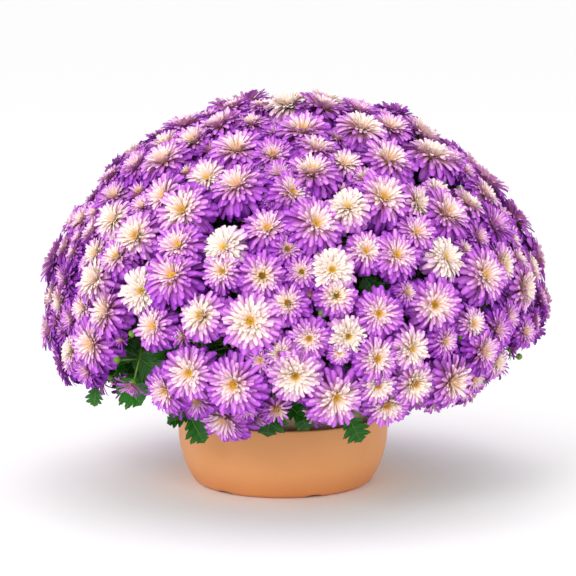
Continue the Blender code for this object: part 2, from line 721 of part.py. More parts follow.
def main():
    clear_scene()
    random = np.random.default_rng(SEED)
    plant = collection("pot_chrysanthemum")

    crown = Crown()
    points, reach, radii = spread_blooms(crown, random)
    owner, middles = group_blooms(crown, points)
    normals = crown.normals(points)
    jitter = random.normal(0, 1, (len(points), 3))
    spins = random.uniform(0, math.tau, len(points))
    heights = random.uniform(-BLOOM_HEIGHT_JITTER, BLOOM_HEIGHT_JITTER, len(points))
    heights += BLOOM_RISE * (reach - reach.mean())
    middle_normals = crown.normals(middles)

    petal = material("petal", 0.6)
    for k in range(SPRAY_COUNT):
        blooms = []
        for i in np.flatnonzero(owner == k):
            place = Vector(points[i] + normals[i] * heights[i])
            blooms.append((place, facing_of(normals[i], jitter[i]), spins[i], float(radii[i])))
        make_spray(k, plant, petal, Vector(middles[k]), Vector(middle_normals[k]), blooms)

    leaf = material("leaf", 0.5)
    paths = [shoot_path(Vector(middles[k]), Vector(middle_normals[k])) for k in range(SPRAY_COUNT)]
    standing = [tree_of(made.data) for made in plant.objects if made.name.startswith("spray")]
    lines = [tube(f"guide_{k}", path, [SHOOT_RADIUS] * len(path), plant, leaf) for k, path in enumerate(paths)]
    trees = [tree_of(line.data) for line in lines]
    for line in lines:
        bpy.data.objects.remove(line, do_unlink=True)
    for k, path in enumerate(paths):
        low = bool(middles[k][2] < CROWN_WIDEST_HEIGHT + 0.02)
        leaves = standing + trees[:k] + trees[k + 1 :]
        before = len(leaves)
        make_shoot(k, plant, leaf, path, low, leaves)
        standing += leaves[before:]

    holes = collection("stem_holes")
    for k, path in enumerate(paths):
        foot = path[0] - Vector((0, 0, FIT))
        width = (STEM_HOLE_RADIUS, STEM_HOLE_RADIUS)
        as_cutter(prism(f"stem_hole_{k}", foot, foot + Vector((0, 0, SHOOT_HOLE_DEPTH + 0.010)), width, 5, holes))
    make_mix(plant, holes)
    make_grow_pot(plant)
    make_bowl(plant, collection("foot_notches"))


main()
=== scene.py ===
# A pot chrysanthemum: lilac blooms over leafy shoots, in a low terracotta-coloured bowl.
import math

import bpy
import numpy as np
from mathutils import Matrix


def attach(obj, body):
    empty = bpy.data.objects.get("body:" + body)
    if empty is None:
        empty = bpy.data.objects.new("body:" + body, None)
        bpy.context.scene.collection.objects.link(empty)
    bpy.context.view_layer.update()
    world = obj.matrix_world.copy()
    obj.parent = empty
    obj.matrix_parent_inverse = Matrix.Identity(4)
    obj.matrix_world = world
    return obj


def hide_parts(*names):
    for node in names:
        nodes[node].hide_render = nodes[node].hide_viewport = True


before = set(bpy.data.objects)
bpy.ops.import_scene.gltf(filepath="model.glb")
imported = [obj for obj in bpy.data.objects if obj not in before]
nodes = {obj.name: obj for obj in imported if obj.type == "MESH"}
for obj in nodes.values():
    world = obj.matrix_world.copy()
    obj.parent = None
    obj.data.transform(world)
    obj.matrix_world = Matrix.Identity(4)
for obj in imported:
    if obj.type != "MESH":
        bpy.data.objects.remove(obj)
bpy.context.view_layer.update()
goldenAngle = math.pi * (3 - math.sqrt(5))
print("frame loaded:", len(nodes), "solids")


def smoothStep(low, high, x):
    # t^2 (3 - 2 t) with t = (x - low) / (high - low), held between 0 and 1
    t = np.clip((x - low) / (high - low), 0, 1)
    return t * t * (3 - 2 * t)


def unit(v):
    # v / |v| along the last axis
    return v / np.maximum(np.linalg.norm(v, axis=-1, keepdims=True), 1e-12)


def blend(a, b, t):
    # a + (b - a) t
    return a + (b - a) * t


def gridFaces(rows, cols):
    # face (i, j) joins the points i*cols + j, +1, +cols+1 and +cols of a grid
    i, j = np.meshgrid(np.arange(rows - 1), np.arange(cols - 1), indexing="ij")
    a = (i * cols + j).ravel()
    return np.stack([a, a + 1, a + cols + 1, a + cols], 1)


def ringFaces(rows, sides):
    # face (i, j) joins ring i to ring i + 1 between the sides j and j + 1 mod sides
    i, j = np.meshgrid(np.arange(rows - 1), np.arange(sides), indexing="ij")
    i, j = i.ravel(), j.ravel()
    k = (j + 1) % sides
    return np.stack([i * sides + j, i * sides + k, (i + 1) * sides + k, (i + 1) * sides + j], 1)


def repeated(faces, copies, size):
    # the faces of every copy, each copy's points starting size later
    return (faces[None] + size * np.arange(copies)[:, None, None]).reshape(-1, faces.shape[1])


def axesFor(facing):
    # third axis along facing, first axis level, second = third x first; as the columns of a matrix
    side = np.cross([0.0, 0.0, 1.0], facing) + [1e-4, 0, 0]
    side = unit(side - (side * facing).sum(-1, keepdims=True) * facing)
    return np.stack([side, np.cross(facing, side), facing], -1)


def cubic(a, b, c, d, count):
    # s^3 a + 3 s^2 t b + 3 s t^2 c + t^3 d with s = 1 - t; points run along the second last axis
    t = np.linspace(0, 1, count)[:, None]
    s = 1 - t
    a, b, c, d = (np.asarray(p)[..., None, :] for p in (a, b, c, d))
    return s**3 * a + 3 * s * s * t * b + 3 * s * t * t * c + t**3 * d


def gridMap(along, across):
    # the UV map's points of a grid: across, then along
    return np.stack(np.meshgrid(along, across, indexing="ij")[::-1], -1).reshape(-1, 2)


def wrappedMap(rows, sides):
    # a grid wrapped round an axis, and then its two poles
    uv = gridMap(np.linspace(0, 1, rows), np.arange(sides) / sides)
    return np.concatenate([uv, [[0.5, 0], [0.5, 1]]])


def partOf(points, faces, uv, tone, finish):
    # what makePiece joins: one UV and one tone vector a point, and the number of the finish
    return {"points": points.reshape(-1, 3), "faces": faces, "uv": uv,
            "tone": tone.reshape(-1, 3), "finish": finish}


def sheetPart(points, along, across, tone, finish):
    # many sheets alike, each a grid with this UV map, whose faces look up
    rows, cols = len(along), len(across)
    copies = points.size // (3 * rows * cols)
    faces = repeated(gridFaces(rows, cols)[:, ::-1], copies, rows * cols)
    uv = np.tile(gridMap(along, (across + 1) / 2), (copies, 1))
    return partOf(points, [faces], uv, tone, finish)


def tubes(paths, radii, sides, tone, finish=0):
    # ring i of a tube: path_i + r_i (cos(a) n + sin(a) b), with n and b square to the path; both ends closed
    paths = np.asarray(paths)
    count, rings = paths.shape[:2]
    along = unit(np.gradient(paths, axis=1))
    helper = np.where(np.abs(along[:, :1, 2:]) > 0.9, [1.0, 0, 0], [0, 0, 1.0])
    first = unit(np.cross(helper, along))
    second = np.cross(along, first)
    angle = np.arange(sides) * math.tau / sides
    circle = np.cos(angle)[:, None] * first[:, :, None] + np.sin(angle)[:, None] * second[:, :, None]
    radii = np.broadcast_to(radii, (count, rings))
    rows = paths[:, :, None] + radii[:, :, None, None] * circle
    size = rings * sides
    caps = np.stack([paths[:, 0], paths[:, -1]], 1)
    points = np.concatenate([rows.reshape(count, size, 3), caps], 1)
    walls = repeated(ringFaces(rings, sides), count, size + 2)
    j = np.arange(sides)
    k = (j + 1) % sides
    foot = np.stack([np.full(sides, size), k, j], 1)
    head = np.stack([np.full(sides, size + 1), size - sides + j, size - sides + k], 1)
    ends = repeated(np.concatenate([foot, head]), count, size + 2)
    tone = np.broadcast_to(np.asarray(tone)[..., None, :], (count, size + 2, 3))
    return partOf(points, [walls, ends], np.tile(wrappedMap(rings, sides), (count, 1)), tone, finish)


def lathe(profile, sides, tone, finish=0, place=None, axes=None, size=None, ripple=None):
    # (r, z) -> (r cos(a), r sin(a), z) round each copy's axis, times its size; the profile starts and
    # ends at r = 0, and a ripple makes five soft ribs
    profile = np.asarray(profile, float)
    angle = np.arange(sides) * math.tau / sides
    ring = profile[1:-1]
    radius = ring[:, :1] * (1 if ripple is None else 1 + ripple * np.cos(5 * angle))
    height = np.broadcast_to(ring[:, 1:], radius.shape if ripple is not None else (len(ring), sides))
    radius = np.broadcast_to(radius, height.shape)
    local = np.stack([radius * np.cos(angle), radius * np.sin(angle), height], -1).reshape(-1, 3)
    poles = np.array([[0, 0, profile[0, 1]], [0, 0, profile[-1, 1]]])
    local = np.concatenate([local, poles])
    count = 1 if place is None else len(place)
    if place is None:
        points = local
    else:
        points = (place[:, None] + np.einsum("nij,pj->npi", axes, local) * size[:, None, None]).reshape(-1, 3)
    rows = len(ring)
    total = rows * sides + 2
    j = np.arange(sides)
    k = (j + 1) % sides
    top = np.stack([np.full(sides, total - 2), j, k], 1)
    bottom = np.stack([np.full(sides, total - 1), total - 2 - sides + k, total - 2 - sides + j], 1)
    walls = repeated(ringFaces(rows, sides)[:, ::-1], count, total)
    ends = repeated(np.concatenate([top, bottom]), count, total)
    tone = np.broadcast_to(np.asarray(tone, float)[..., None, :], (count, total, 3))
    return partOf(points, [walls, ends], np.tile(wrappedMap(rows, sides), (count, 1)), tone, finish)


def makePiece(name, parts, finishes, replaced=()):
    # joins the parts into one mesh: points in world coordinates, a UV map and one tone vector a point
    points = np.concatenate([p["points"] for p in parts]).astype(np.float32)
    start = np.cumsum([0] + [len(p["points"]) for p in parts])
    faces = [(f + s, p["finish"]) for p, s in zip(parts, start) for f in p["faces"]]
    corners = np.concatenate([f.ravel() for f, _ in faces]).astype(np.int32)
    widths = np.concatenate([np.full(len(f), f.shape[1]) for f, _ in faces])
    chosen = np.concatenate([np.full(len(f), m) for f, m in faces]).astype(np.int32)
    uv = np.concatenate([p["uv"] for p in parts]).astype(np.float32)
    tone = np.concatenate([p["tone"] for p in parts]).astype(np.float32)
    mesh = bpy.data.meshes.new(name)
    mesh.vertices.add(len(points))
    mesh.vertices.foreach_set("co", points.ravel())
    mesh.loops.add(len(corners))
    mesh.loops.foreach_set("vertex_index", corners)
    mesh.polygons.add(len(widths))
    mesh.polygons.foreach_set("loop_start", np.concatenate([[0], np.cumsum(widths)[:-1]]).astype(np.int32))
    mesh.polygons.foreach_set("material_index", chosen)
    mesh.update(calc_edges=True)
    mesh.uv_layers.new(name="surfaceMap").uv.foreach_set("vector", uv[corners].ravel())
    mesh.attributes.new("tone", "FLOAT_VECTOR", "POINT").data.foreach_set("vector", tone.ravel())
    mesh.shade_smooth()
    for finish in finishes:
        mesh.materials.append(finish)
    piece = bpy.data.objects.new(name, mesh)
    bpy.context.scene.collection.objects.link(piece)
    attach(piece, "root")
    if replaced:
        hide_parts(*replaced)
    counts["triangles"] += int((widths - 2).sum())
    return piece


counts = {"triangles": 0}


def fromScreen(r, g, b):
    # screen colour 0..255 to the linear value that a shader takes
    c = np.array([r, g, b]) / 255
    return (*np.where(c <= 0.04045, c / 12.92, ((c + 0.055) / 1.055) ** 2.4).tolist(), 1)


def give(socket, value):
    # another node's socket is linked to this one; a number or a colour is set on it
    if isinstance(value, bpy.types.NodeSocket):
        socket.id_data.links.new(value, socket)
    else:
        socket.default_value = value


def addNode(tree, kind, inputs=None, **settings):
    # a node with its settings made; an input is a number, a colour or another node's socket
    made = tree.nodes.new(kind)
    for key, value in settings.items():
        setattr(made, key, value)
    for key, value in (inputs or {}).items():
        give(made.inputs[key], value)
    return made


def maths(operation, a, b=0.0, clamp=False):
    # the socket a and the socket or number b joined by one operation, in the tree that a belongs to
    return addNode(a.id_data, "ShaderNodeMath", {0: a, 1: b}, operation=operation, use_clamp=clamp).outputs[0]


def times(a, b):
    # a b
    return maths("MULTIPLY", a, b)


def minus(a, b):
    # a - b
    return maths("SUBTRACT", a, b)


def plus(a, b, clamp=False):
    # a + b, held between 0 and 1 if clamp says so
    return maths("ADD", a, b, clamp)


def stirred(level, noise, amount):
    # level + amount (noise - 1/2), held between 0 and 1
    return plus(level, times(minus(noise, 0.5), amount), clamp=True)


def fromMiddle(value):
    # |2 value - 1|, from 0 at the middle to 1 at both sides
    return maths("ABSOLUTE", minus(times(value, 2.0), 1.0))


def spread(value, low, high, newLow=0.0, newHigh=1.0):
    # the value's range low..high taken to newLow..newHigh, smoothly
    inputs = {"Value": value, "From Min": low, "From Max": high, "To Min": newLow, "To Max": newHigh}
    made = addNode(value.id_data, "ShaderNodeMapRange", inputs, interpolation_type="SMOOTHSTEP")
    return made.outputs["Result"]


def mixed(factor, a, b, how="MIX"):
    # the colour a + (b - a) factor, or with b multiplied in
    made = addNode(factor.id_data, "ShaderNodeMix", data_type="RGBA", blend_type=how)
    for socket, value in zip((made.inputs[0], made.inputs[6], made.inputs[7]), (factor, a, b)):
        give(socket, value)
    return made.outputs[2]


def rampOf(factor, stops):
    # a colour ramp with a stop at each position
    made = addNode(factor.id_data, "ShaderNodeValToRGB", {0: factor})
    ramp = made.color_ramp
    for position, _ in stops[2:]:
        ramp.elements.new(position)
    for element, (position, colour) in zip(ramp.elements, sorted(stops)):
        element.position = position
        element.color = fromScreen(*colour)
    return made.outputs["Color"]


def newFinish(name, roughness, specular=0.5, sheen=0.0):
    # a finish whose shader has these constant values
    made = bpy.data.materials.new(name)
    made.use_nodes = True
    tree = made.node_tree
    shader = tree.nodes["Principled BSDF"]
    shader.inputs["Roughness"].default_value = roughness
    shader.inputs["Specular IOR Level"].default_value = specular
    shader.inputs["Sheen Weight"].default_value = sheen
    shader.inputs["Sheen Roughness"].default_value = 0.4
    return made, tree, shader


def surfaceReads(tree):
    # across and along from the UV map, and the three numbers of the tone attribute
    uv = addNode(tree, "ShaderNodeUVMap", uv_map="surfaceMap").outputs["UV"]
    split = addNode(tree, "ShaderNodeSeparateXYZ", {0: uv}).outputs
    tone = addNode(tree, "ShaderNodeAttribute", attribute_name="tone").outputs["Vector"]
    parts = addNode(tree, "ShaderNodeSeparateXYZ", {0: tone}).outputs
    return split[0], split[1], parts[0], parts[1], parts[2]


def noiseOf(tree, scale, detail=3.0, rough=0.5, vector=None):
    # noise on the object's own coordinates, or on the vector given
    if vector is None:
        vector = addNode(tree, "ShaderNodeTexCoord").outputs["Object"]
    inputs = {"Vector": vector, "Scale": scale, "Detail": detail, "Roughness": rough}
    return addNode(tree, "ShaderNodeTexNoise", inputs).outputs["Fac"]


def bumpTo(shader, height, strength, distance):
    # the height tips the surface seen by the shader; the shape stays
    inputs = {"Height": height, "Strength": strength, "Distance": distance}
    give(shader.inputs["Normal"], addNode(shader.id_data, "ShaderNodeBump", inputs).outputs["Normal"])


petalLook = {
    # the fifth number is the strength of the painted shade at the petals' roots
    "roughness": 0.48, "specular": 0.22, "sheen": 0.10, "streaks": 0.30, "rootShadeStrength": 0.78,
    "levels": [
        (0.0, (206, 112, 76)), (0.06, (244, 204, 112)), (0.12, (252, 238, 176)), (0.20, (253, 243, 231)),
        (0.38, (238, 182, 230)), (0.58, (208, 116, 222)), (0.82, (180, 78, 210)), (1.0, (132, 38, 172)),
    ],
    # the plum and the salmon colour on the next line are the painted shade at the petals' roots
    "middle": -0.10, "edge": 0.17, "root": (176, 62, 138), "innerRootShade": (244, 166, 140),
    "streakSize": (7.0, 1.6, 61.0),  # how often streaks change across a petal, along it and between petals
}


def petalFinish():
    # level 0..1 is the tone's first number, moved by streaks along the petal; it runs orange, yellow,
    # cream, white, pink, lilac, purple, and is higher at the petal's edges than along its middle.
    # the second number is painted shade at the petal's root, plum on the outer petals and salmon on the inner
    # ones
    look = petalLook
    made, tree, shader = newFinish("lilacPetal", look["roughness"], look["specular"], look["sheen"])
    across, along, level, root, seed = surfaceReads(tree)
    spot = [times(value, often) for value, often in zip((across, along, seed), look["streakSize"])]
    spot = addNode(tree, "ShaderNodeCombineXYZ", dict(enumerate(spot))).outputs[0]
    streak = noiseOf(tree, 1.6, 2.0, 0.6, spot)
    moved = times(minus(streak, 0.5), look["streaks"])
    rising = spread(fromMiddle(across), 0.15, 1.0, look["middle"], look["edge"])
    edge = times(rising, spread(level, 0.15, 0.5))
    colour = rampOf(plus(plus(level, moved), edge, clamp=True), look["levels"])
    # painted shade: the petal's root is multiplied by plum on the outer petals and salmon on the inner ones
    shade = rampOf(level, [(0.20, look["innerRootShade"]), (0.42, look["root"])])
    colour = mixed(times(root, look["rootShadeStrength"]), colour, shade, "MULTIPLY")
    give(shader.inputs["Base Color"], colour)
    bumpTo(shader, streak, 0.35, 0.0006)
    return made


eyeLook = {
    "roughness": 0.6, "ripeEdge": (248, 212, 76), "ripeMiddle": (222, 144, 40),
    "youngEdge": (232, 140, 84), "youngMiddle": (124, 150, 30),
}


def eyeFinish():
    # tone: first number 0 in the middle to 1 at the edge, second 0 for a ripe eye and 1 for a young green one
    look = eyeLook
    made, tree, shader = newFinish("flowerEye", look["roughness"], 0.3)
    _, _, out, young, _ = surfaceReads(tree)
    grain = noiseOf(tree, 900.0, 2.0)
    level = stirred(out, grain, 0.5)
    ripe = rampOf(level, [(0.15, look["ripeMiddle"]), (0.7, look["ripeEdge"])])
    green = rampOf(level, [(0.3, look["youngMiddle"]), (0.8, look["youngEdge"])])
    give(shader.inputs["Base Color"], mixed(young, ripe, green))
    bumpTo(shader, grain, 0.4, 0.0003)
    return made


stemLook = {"roughness": 0.5, "dark": (40, 84, 18), "light": (136, 176, 62), "grain": 0.0002}


def stemFinish():
    # green that turns lighter with the tone's first number, over a fine grain
    look = stemLook
    made, tree, shader = newFinish("greenStem", look["roughness"], 0.35)
    _, _, light, _, _ = surfaceReads(tree)
    level = stirred(light, noiseOf(tree, 120.0, 3.0), 0.6)
    give(shader.inputs["Base Color"], rampOf(level, [(0.0, look["dark"]), (1.0, look["light"])]))
    bumpTo(shader, noiseOf(tree, 700.0, 2.0), 0.3, look["grain"])
    return made


leafLook = {
    "roughness": 0.38, "dark": (10, 36, 6), "light": (32, 122, 14), "vein": (112, 160, 70),
    "veinCount": 4, "veinStrength": 0.38, "puffed": 0.0018,
}


def veins(along, count, wide, strength):
    # a vein at the middle of each of count equal steps along the leaf, faded out at wide from it
    away = maths("ABSOLUTE", minus(maths("FRACT", times(along, count)), 0.5))
    return spread(away, 0.02, wide, strength, 0.0)


def leafFinish():
    # side veins run where the leaf's rows do, at the middle of each lobe, and the midrib at across = 1/2
    look = leafLook
    made, tree, shader = newFinish("lobedLeaf", look["roughness"], 0.4)
    across, along, light, _, _ = surfaceReads(tree)
    rib = spread(fromMiddle(across), 0.03, 0.10, 1.0, 0.0)
    side = veins(along, float(look["veinCount"]), 0.09, 1.0)
    fine = veins(along, 3.0 * look["veinCount"], 0.12, 0.5)
    vein = maths("MAXIMUM", rib, maths("MAXIMUM", side, fine))
    level = stirred(light, noiseOf(tree, 90.0, 4.0), 0.7)
    green = rampOf(level, [(0.0, look["dark"]), (1.0, look["light"])])
    colour = mixed(times(vein, look["veinStrength"]), green, fromScreen(*look["vein"]))
    give(shader.inputs["Base Color"], colour)
    bumpTo(shader, minus(times(noiseOf(tree, 260.0, 3.0), 0.7), vein), 0.7, look["puffed"])
    return made


# the second colour, towards the foot, is painted shade
bowlLook = {"roughness": 0.46, "main": (236, 165, 105), "footShade": (220, 141, 80), "grain": 0.00012}


def bowlFinish():
    # the colour turns darker and warmer towards the foot, a painted shade, with faint mottling and a fine
    # grain
    look = bowlLook
    made, tree, shader = newFinish("terracottaPlastic", look["roughness"], 0.4)
    point = addNode(tree, "ShaderNodeTexCoord").outputs["Object"]
    height = addNode(tree, "ShaderNodeSeparateXYZ", {0: point}).outputs[2]
    # painted shade: the colour darkens towards the foot
    low = spread(height, 0.0, 0.032, 0.75, 0.0)
    patch = times(minus(noiseOf(tree, 22.0, 4.0), 0.5), 0.5)
    level = plus(low, plus(patch, 0.12), clamp=True)
    give(shader.inputs["Base Color"], rampOf(level, [(0.0, look["main"]), (1.0, look["footShade"])]))
    bumpTo(shader, noiseOf(tree, 1400.0, 2.0), 0.25, look["grain"])
    rough = spread(noiseOf(tree, 60.0, 3.0), 0.3, 0.7, look["roughness"] - 0.05, look["roughness"] + 0.07)
    give(shader.inputs["Roughness"], rough)
    return made


growPotLook = {"roughness": 0.6, "main": (190, 162, 142), "dark": (150, 122, 102)}


def growPotFinish():
    # pale with darker patches
    look = growPotLook
    made, tree, shader = newFinish("paleGrowPot", look["roughness"], 0.35)
    level = spread(noiseOf(tree, 45.0, 5.0, 0.6), 0.3, 0.75)
    give(shader.inputs["Base Color"], rampOf(level, [(0.0, look["main"]), (1.0, look["dark"])]))
    bumpTo(shader, noiseOf(tree, 500.0, 3.0), 0.3, 0.0003)
    return made


mixLook = {"roughness": 0.95, "dark": (30, 20, 13), "light": (84, 58, 38), "speck": (214, 208, 196)}


def mixFinish():
    # crumbs from coarse noise, with a few pale specks
    look = mixLook
    made, tree, shader = newFinish("pottingCrumbs", look["roughness"], 0.1)
    crumb = noiseOf(tree, 260.0, 6.0, 0.65)
    colour = rampOf(crumb, [(0.35, look["dark"]), (0.68, look["light"])])
    speck = spread(noiseOf(tree, 420.0, 1.0), 0.72, 0.76)
    give(shader.inputs["Base Color"], mixed(speck, colour, fromScreen(*look["speck"])))
    bumpTo(shader, crumb, 0.9, 0.003)
    return made


petalMaterial = petalFinish()
eyeMaterial = eyeFinish()
stemMaterial = stemFinish()
leafMaterial = leafFinish()
print("finishes made")


# the blooms' places follow the same rule and the same draws as the solids

crown = {
    "offset": 0.0115, "radius": 0.243, "widest": 0.168, "rise": 0.212, "drop": 0.088,
    "upperPower": 1.97, "lowerPower": 2.5, "endAngle": math.radians(139), "samples": 800,
}


def crownProfile():
    # radius = R sin(a)^p, height = widest + h |cos(a)|^p; p and h change at the widest ring
    angle = np.linspace(0, crown["endAngle"], crown["samples"])
    upper = angle <= math.pi / 2
    power = np.where(upper, 2 / crown["upperPower"], 2 / crown["lowerPower"])
    radius = crown["radius"] * np.sin(angle) ** power
    level = crown["widest"] + np.where(upper, crown["rise"], -crown["drop"]) * np.abs(np.cos(angle)) ** power
    ring = math.pi * (radius[1:] + radius[:-1]) * np.hypot(np.diff(radius), np.diff(level))
    across, down = np.gradient(radius), np.gradient(level)
    length = np.hypot(across, down)
    return radius, level, np.concatenate([[0], np.cumsum(ring)]), -down / length, across / length


crownRadius, crownLevel, crownArea, crownOut, crownUp = crownProfile()


def spiralOnCrown(count):
    # point k holds the share (k + 1/2) / count of the dome's area inside it, at k golden angles
    share = (np.arange(count) + 0.5) / count * crownArea[-1]
    turn = np.arange(count) * goldenAngle
    radius = np.interp(share, crownArea, crownRadius)
    level = np.interp(share, crownArea, crownLevel)
    return np.stack([radius * np.cos(turn) + crown["offset"], radius * np.sin(turn), level], 1)


def nearestOnCrown(points):
    # the sample of the dome's profile nearest to each point, and the point's turn round the axis
    across = points[:, 0] - crown["offset"]
    radius = np.hypot(across, points[:, 1])
    gap = (radius[:, None] - crownRadius) ** 2 + (points[:, 2:] - crownLevel) ** 2
    return gap.argmin(1), np.arctan2(points[:, 1], across)


def settleOnCrown(points):
    # each point moved to the dome's nearest sample, at its own turn
    index, turn = nearestOnCrown(points)
    radius = crownRadius[index]
    return np.stack([radius * np.cos(turn) + crown["offset"], radius * np.sin(turn), crownLevel[index]], 1)


def crownNormals(points):
    # the way out of the dome at the sample nearest to each point
    index, turn = nearestOnCrown(points)
    return np.stack([crownOut[index] * np.cos(turn), crownOut[index] * np.sin(turn), crownUp[index]], 1)


def onCrown(turn, height):
    # the dome's point at this turn from the front (-Y) and this height
    radius = np.interp(-height, -crownLevel, crownRadius)
    turn = math.radians(turn)
    return (radius * math.sin(turn) + crown["offset"], -radius * math.cos(turn), height)


# what the front view shows, in millimetres: across and up to the eye, reach of the petals,
# tone (0 deep, 1 lilac, 2 pale, 3 white) and eye (0 ripe, 1 between, 2 young and green)
frontBlooms = [
    (19, 385, 10, 0, 0), (-115, 357, 12, 0, 0), (-100, 356, 17, 1, 0), (-77, 368, 12, 0, 0),
    (-63, 355, 21, 1, 0), (-50, 372, 14, 1, 0), (-34, 358, 14, 1, 0), (-21, 374, 12, 1, 0),
    (-7, 350, 11, 0, 1), (6, 373, 18, 3, 0), (39, 370, 18, 1, 0), (77, 369, 16, 0, 0),
    (102, 369, 11, 0, 0), (109, 353, 17, 1, 0), (120, 368, 12, 0, 0), (-123, 344, 14, 0, 0),
    (-91, 343, 16, 1, 0), (-47, 330, 21, 1, 1), (-11, 325, 17, 0, 1), (20, 347, 20, 1, 1),
    (34, 329, 19, 1, 0), (57, 346, 12, 1, 0), (79, 349, 20, 2, 0), (139, 346, 18, 2, 0),
    (164, 335, 12, 0, 0), (-171, 311, 14, 0, 0), (-146, 313, 16, 0, 0), (-120, 319, 22, 1, 0),
    (-78, 305, 18, 2, 0), (-26, 309, 9, 0, 1), (-3, 306, 16, 0, 1), (29, 306, 22, 1, 1),
    (62, 318, 18, 1, 0), (81, 324, 11, 0, 2), (84, 302, 14, 1, 1), (106, 318, 21, 1, 0),
    (149, 323, 20, 2, 0), (167, 321, 14, 1, 1), (183, 311, 12, 0, 0), (-174, 285, 14, 0, 0),
    (-121, 283, 20, 1, 0), (-46, 294, 27, 1, 0), (-15, 283, 9, 0, 1), (9, 288, 19, 1, 0),
    (30, 284, 9, 0, 1), (101, 280, 24, 1, 0), (135, 275, 17, 2, 0), (157, 290, 12, 2, 0),
    (190, 278, 15, 2, 0), (205, 286, 14, 1, 0), (223, 275, 12, 1, 0), (-194, 250, 14, 1, 1),
    (-191, 269, 12, 0, 0), (-171, 259, 17, 2, 0), (-143, 274, 14, 0, 0), (-103, 270, 26, 1, 1),
    (-15, 251, 22, 1, 0), (33, 254, 26, 1, 0), (65, 271, 19, 3, 0), (166, 266, 22, 1, 1),
    (215, 255, 18, 0, 1), (-213, 226, 14, 0, 0), (-208, 241, 14, 0, 0), (-190, 225, 13, 2, 1),
    (-171, 243, 13, 1, 1), (-148, 243, 20, 2, 1), (-106, 232, 22, 1, 0), (-61, 232, 20, 3, 0),
    (4, 231, 17, 0, 2), (85, 229, 19, 1, 0), (187, 230, 10, 1, 0), (199, 243, 14, 0, 0),
    (233, 243, 12, 1, 0), (-203, 215, 9, 0, 1), (-167, 221, 17, 1, 1), (-110, 202, 25, 1, 0),
    (-63, 208, 19, 1, 1), (-21, 202, 21, 1, 2), (20, 207, 16, 1, 2), (51, 208, 20, 3, 0),
    (114, 223, 21, 1, 0), (164, 221, 19, 3, 0), (201, 203, 24, 1, 0), (238, 219, 14, 1, 0),
    (-227, 177, 13, 2, 0), (-223, 198, 14, 0, 0), (-190, 198, 19, 2, 0), (-145, 187, 20, 3, 1),
    (54, 183, 19, 1, 2), (129, 187, 12, 1, 0), (243, 191, 17, 2, 0), (262, 179, 13, 0, 0),
    (-205, 170, 13, 1, 0), (-178, 165, 21, 1, 0), (-133, 151, 20, 1, 0), (-82, 161, 21, 2, 1),
    (-32, 156, 27, 2, 0), (6, 174, 18, 1, 2), (97, 164, 21, 1, 0), (155, 173, 23, 1, 1),
    (195, 153, 15, 1, 0), (232, 160, 14, 0, 0), (255, 156, 11, 0, 0), (-240, 148, 15, 1, 1),
    (-195, 133, 28, 1, 0), (27, 138, 19, 1, 1), (68, 141, 18, 3, 1), (129, 128, 19, 2, 0),
    (164, 136, 15, 0, 0), (201, 126, 18, 1, 1), (-222, 111, 16, 0, 0), (-197, 105, 12, 0, 1),
    (-96, 102, 22, 1, 0), (-23, 115, 14, 0, 0), (-2, 122, 18, 1, 1), (13, 100, 24, 2, 1),
    (57, 123, 11, 1, 0), (95, 118, 20, 1, 0), (-118, 83, 17, 1, 1), (-49, 91, 27, 1, 0),
    (53, 78, 27, 1, 0), (132, 92, 18, 2, 1), (170, 94, 26, 1, 0), (195, 93, 11, 1, 0),
    (-88, 69, 13, 0, 0), (-58, 56, 22, 1, 0), (104, 70, 16, 1, 1), (-28, 49, 11, 0, 0),
]
frontWindows = [  # gaps where leaves show: across, up, radius
    (-142, 115, 25), (-155, 89, 13), (-6, 73, 17), (80, 69, 10), (86, 193, 13), (121, 179, 12),
    (184, 136, 12), (218, 174, 9), (-66, 130, 9), (-44, 187, 8), (-165, 72, 22), (-135, 66, 18),
    (-108, 58, 16), (5, 46, 14), (54, 46, 14), (90, 50, 15), (130, 58, 22), (172, 66, 22),
]
# windows beside the front view: turn from the front in degrees, height, radius
sideWindows = [(64, 0.118, 0.042), (83, 0.129, 0.046), (102, 0.125, 0.046), (-82, 0.100, 0.028)]
view = {
    "distance": 2.4, "elevation": math.radians(9), "aim": (0.005, 0.198), "aimUp": 0.193,
    "turns": 461, "lastTurn": math.radians(115), "limb": -0.12, "eyeHeight": 0.006,
}
placing = {
    "seed": 11, "count": 318, "margin": 0.012, "cover": 0.81, "sizes": (0.70, 1.22), "gap": 0.0016,
    "rounds": 260, "push": 0.3, "fitRounds": 80, "groupRounds": 12, "sitesEach": 4,
    "clearance": 0.008, "solidShare": 0.85, "narrowest": 0.66, "largest": 0.0285, "rise": 0.35,
    "heights": 0.003, "tilt": 0.13, "sprays": 20, "sprayDepth": 0.078, "topDepth": 0.030, "fit": 0.0003,
}
ahead = np.array([0, math.cos(view["elevation"]), -math.sin(view["elevation"])])
upward = np.array([0, math.sin(view["elevation"]), math.cos(view["elevation"])])
viewer = np.array([view["aim"][0], 0, view["aim"][1]]) - view["distance"] * ahead


def inFrontView(points):
    # across and up = the sight's parts times distance / (sight . ahead); and the direction to the viewer
    sight = points - viewer
    scale = view["distance"] / (sight @ ahead)
    return view["aim"][0] + scale * sight[..., 0], view["aimUp"] + scale * (sight @ upward), -sight


